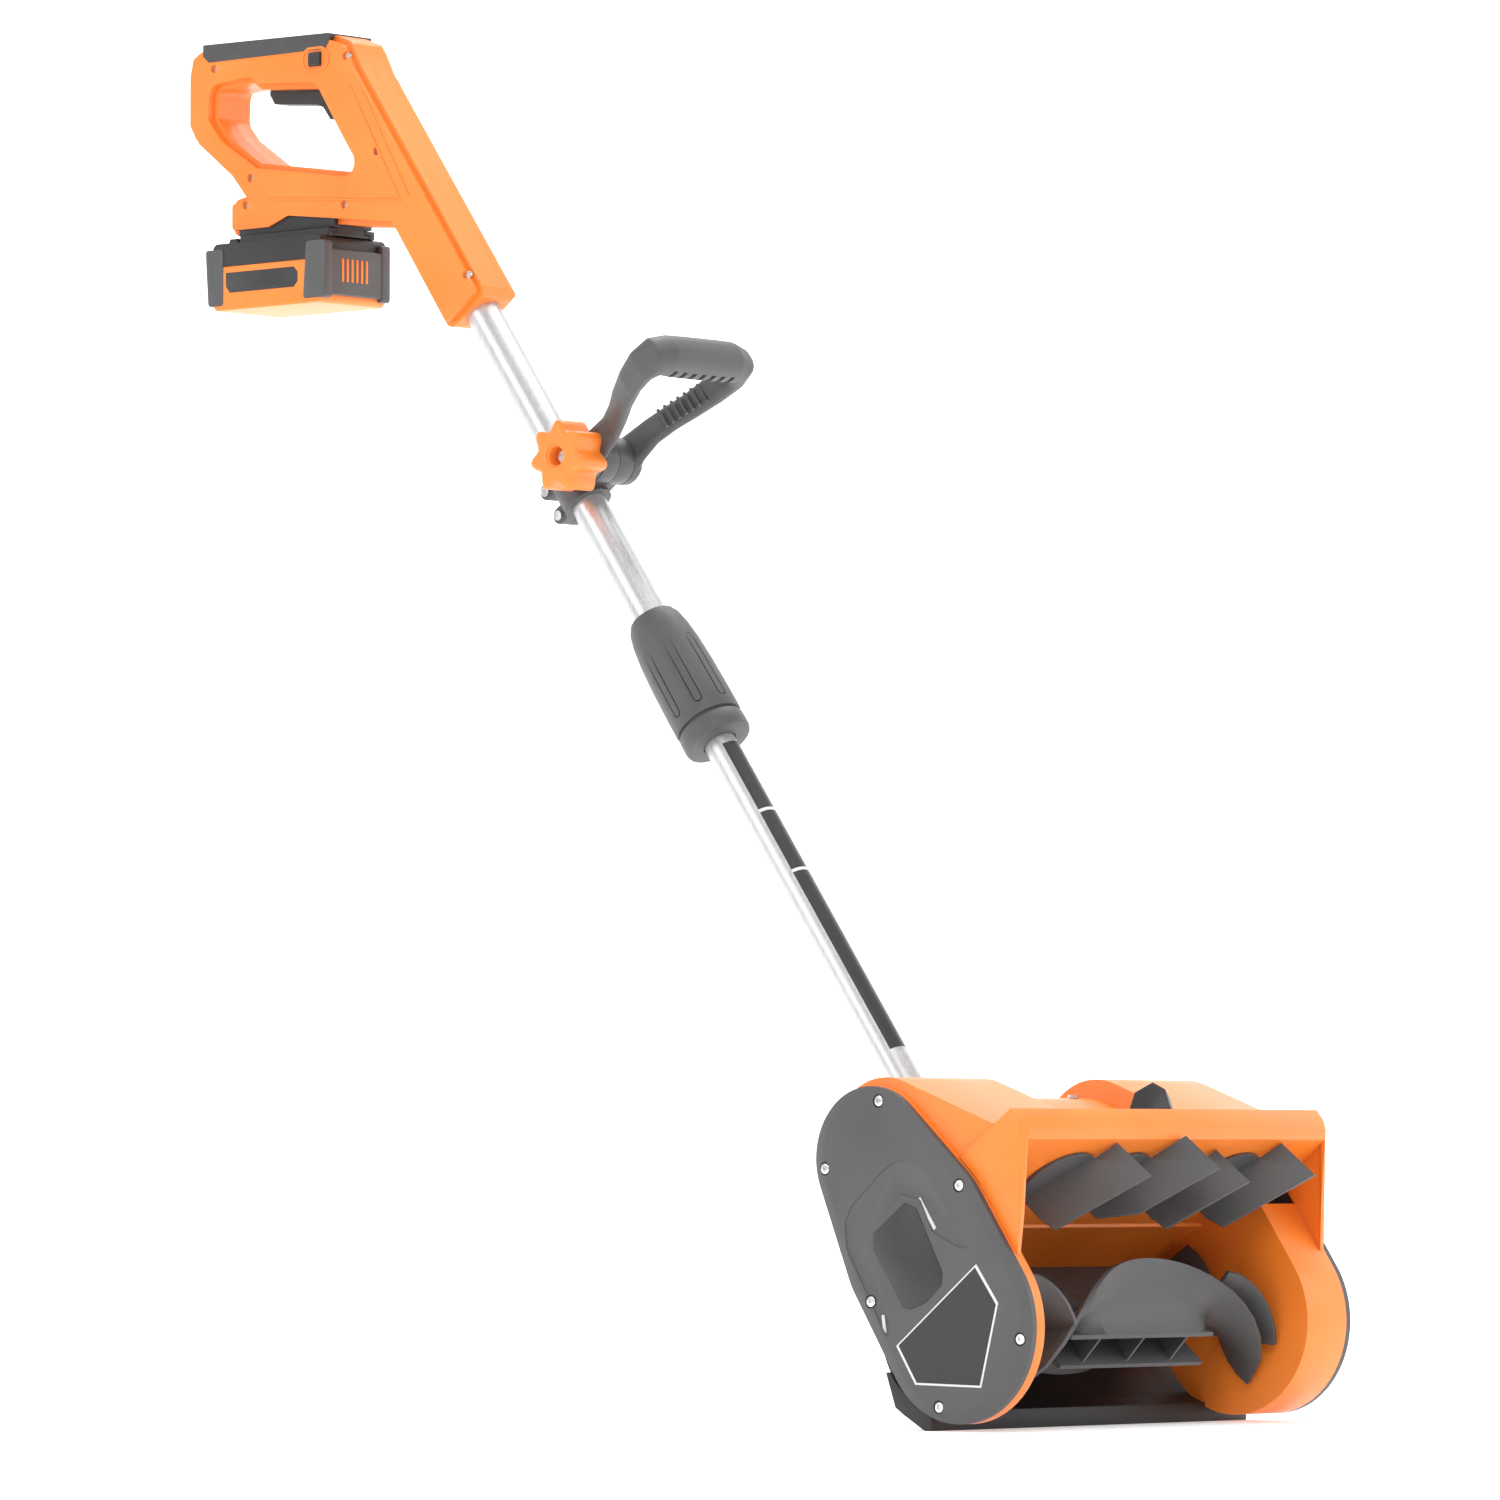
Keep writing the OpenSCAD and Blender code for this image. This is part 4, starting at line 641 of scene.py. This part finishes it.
star = []
for k in range(84):
    a = 2 * pi * k / 84
    star.append(((22.6 + 3.4 * cos(7 * a)) * cos(a), (22.6 + 3.4 * cos(7 * a)) * sin(a)))
knob = plate(star, -50.6, -24.6)
only(knob)
bpy.ops.object.mode_set(mode="EDIT")
bpy.ops.mesh.select_all(action="DESELECT")
bpy.ops.object.mode_set(mode="OBJECT")
for face in knob.data.polygons:
    face.select = face.normal.x < -0.9
bpy.ops.object.mode_set(mode="EDIT")
bpy.ops.mesh.inset(thickness=0.0016, depth=0.0014)
bpy.ops.mesh.inset(thickness=0.0016, depth=0.0006)
bpy.ops.object.mode_set(mode="OBJECT")
knob.data.transform(Matrix.Translation((0.0020, 0, 0)))
well = rod(-46, 0, 0, 7, 12, sides=48)
through = rod(-40, 0, 0, 4.05, 60, sides=48)
dish = rod(-52, 0, 0, 8.6, 5, sides=48)
carve(knob, well, through, dish)
round_edges(knob, 0.5, 2, 40)
knob.data.transform(loop_place)
set_in_place(knob, "star_knob_moulding", orange, "knob", "star_knob")

# ---- D handle ----------------------------------------------------------------------------
# Two orange shells screwed together round the controls: a D-shaped grip, a strut that
# holds the pole and a shelf for the battery. A bead follows the strut and the shelf.
hand_place = Matrix.Translation((0, 0.57439, 0.80059))
for side in ("left", "right"):
    shell = merged_copy("handle_" + side + "_shell")
    round_edges(shell, 2.4, 4, 26)
    set_in_place(shell, side + "_grip_shell", orange, "upper_pole", "handle_" + side + "_shell")


def eased(outline, radius):
    """The outline with its corners drawn as short curves."""
    points = []
    for i, p in enumerate(outline):
        before, here, after = Vector(outline[i - 1]), Vector(p), Vector(outline[(i + 1) % len(outline)])
        r = min(radius, (before - here).length * 0.45, (after - here).length * 0.45)
        start, end = here + (before - here).normalized() * r, here + (after - here).normalized() * r
        for k in range(6):
            t = k / 5
            points.append(tuple(start * (1 - t) ** 2 + here * 2 * t * (1 - t) + end * t * t))
    return points


beads = []
for x in (-22, 22):
    for (y0, z0), (y1, z1) in (((52, 84), (106, 176)), ((60, 81), (113, 171)), ((60, 81), (196, 92))):
        run = (0, y1 - y0, z1 - z0)
        beads.append(rod(x, (y0 + y1) / 2, (z0 + z1) / 2, 0.9, hypot(*run), run, 12))
bead = join(beads)
bead.data.transform(hand_place)
smooth(bead)
set_in_place(bead, "handle_beads", orange, "upper_pole")

# A soft grey pad is moulded over the grip's back. The black lock button beside it has an
# orange collar.
rubber = Finish("soft_rubber", Roughness=0.7, IOR=1.45)
cloud = rubber.noise(40, 3)
pebble = rubber.make("ShaderNodeTexVoronoi", {}, {"Vector": rubber.place(), "Scale": 700.0})
rubber.feed(Base_Color=rubber.mix(rubber.span(cloud, 0.3, 0.7),
                                  (0.050, 0.050, 0.053, 1), (0.070, 0.070, 0.074, 1)),
            Roughness=rubber.span(cloud, 0.3, 0.7, 0.6, 0.78))
rubber.bump((pebble, 0.35, 0.0004))
pad = merged_copy("grip_pad")
round_edges(pad, 1.8, 4)
set_in_place(pad, "grip_pad_moulding", rubber, "upper_pole", "grip_pad")
button = merged_copy("lock_button")
round_edges(button, 1.2, 3)
set_in_place(button, "lock_button_cap", dark, "safety_button", "lock_button")
collar_out, collar_in = 9.4, 7.2
button_ends = ((143, 192), (153, 192))
collars = []
for x0, x1 in ((-22.7, -21.5), (21.5, 22.7)):
    collar = plate(around([(y, z, collar_out) for y, z in button_ends]), x0, x1)
    opening = plate(around([(y, z, collar_in) for y, z in button_ends]), x0 - 1, x1 + 1)
    carve(collar, opening)
    round_edges(collar, 0.4, 2)
    collars.append(collar)
collar = join(collars)
collar.data.transform(hand_place)
set_in_place(collar, "button_collars", orange, "upper_pole")
trigger = merged_copy("trigger")
round_edges(trigger, 1.5, 4)
set_in_place(trigger, "trigger_moulding", black, "trigger_lever", "trigger")

# ---- Battery -----------------------------------------------------------------------------
# A sliding pack: black upper case with the rails, orange lower case, charcoal bumpers on
# the corners, a blank dark side panel and stiffening ribs on the end.
for node, ease in (("battery_dock", 1.6), ("battery_upper_case", 1.8), ("battery_lower_case", 2.4),
                   ("battery_bumpers", 1.2), ("battery_latch", 1.0)):
    moulding = merged_copy(node)
    round_edges(moulding, ease, 3)
    finish = {"battery_lower_case": orange, "battery_bumpers": charcoal}.get(node, black)
    body = {"battery_dock": "upper_pole", "battery_latch": "latch"}.get(node, "battery")
    set_in_place(moulding, node + "_moulding", finish, body, node)
panels = []
for x0, x1 in ((-34.5, -33.4), (33.4, 34.5)):
    panel = plate(((158, 23), (225, 23), (229, 28), (229, 38), (158, 38), (154, 34), (154, 27)), x0, x1)
    round_edges(panel, 0.4, 2)
    panels.append(panel)
panel = join(panels)
panel.data.transform(hand_place)
set_in_place(panel, "battery_side_panels", dark, "battery")
corners = []
for x in (-1, 1):
    for y0, y1 in ((125.4, 148), (232, 247.6)):
        corner = plate(eased(((y0, 13.5), (y1, 13.5), (y1 - 3 * (1 if y0 < 200 else -1), 56), (y0, 56)), 3),
                       x * 26, x * 34.7)
        round_edges(corner, 0.8, 2)
        corners.append(corner)
guard = join(corners)
guard.data.transform(hand_place)
set_in_place(guard, "battery_corner_guards", charcoal, "battery")
rib_pitch, rib_width = 5, 2
ribs = []
for k in range(6):
    left = -16 + rib_pitch * k
    rib = plate(((125.3, 26), (127, 26), (127, 43), (125.3, 43)), left, left + rib_width)
    round_edges(rib, 0.4, 2)
    ribs.append(rib)
for k in range(5):
    for x in (-33.5, 34.1):
        y = 172 + 8 * k
        vent = plate(((y, 12), (y + 3, 12), (y + 7, 18.5), (y + 4, 18.5)), x - 0.6, x)
        ribs.append(vent)
rib = join(ribs)
rib.data.transform(hand_place)
set_in_place(rib, "battery_ribs", orange, "battery")

# ---- Metal and small parts left as they are made --------------------------------------
# Shafts, the motor can and its pulley are turned or drawn steel, the screws are plated,
# and the terminals are brass.
turned = Finish("turned_steel", Metallic=1.0, Roughness=0.35)
rings = turned.noise(500, 2, turned.place((1, 0.05, 0.05)))
turned.feed(Base_Color=turned.mix(turned.span(rings, 0.3, 0.7), (0.42, 0.42, 0.43, 1), (0.56, 0.56, 0.57, 1)),
            Roughness=turned.span(rings, 0.3, 0.7, 0.28, 0.42))
brass = Finish("contact_brass", Metallic=1.0, Roughness=0.3)
cloud = brass.noise(200, 3)
brass.feed(Base_Color=brass.mix(brass.span(cloud, 0.3, 0.7), (0.65, 0.45, 0.16, 1), (0.78, 0.58, 0.25, 1)))
coats = {"orange_plastic": orange, "charcoal_plastic": charcoal, "black_plastic": black, "tube_alloy": alloy,
         "grip_rubber": rubber, "belt_rubber": rubber, "brass_contacts": brass, "bright_steel": zinc,
         "plain_steel": turned, "cell_metal": turned}
for subpart in frame["record"]["subparts"]:
    node = frame["nodes"][subpart["node"]]
    node.data.materials.clear()
    node.data.materials.append(coats[subpart["material_slot"]].material)
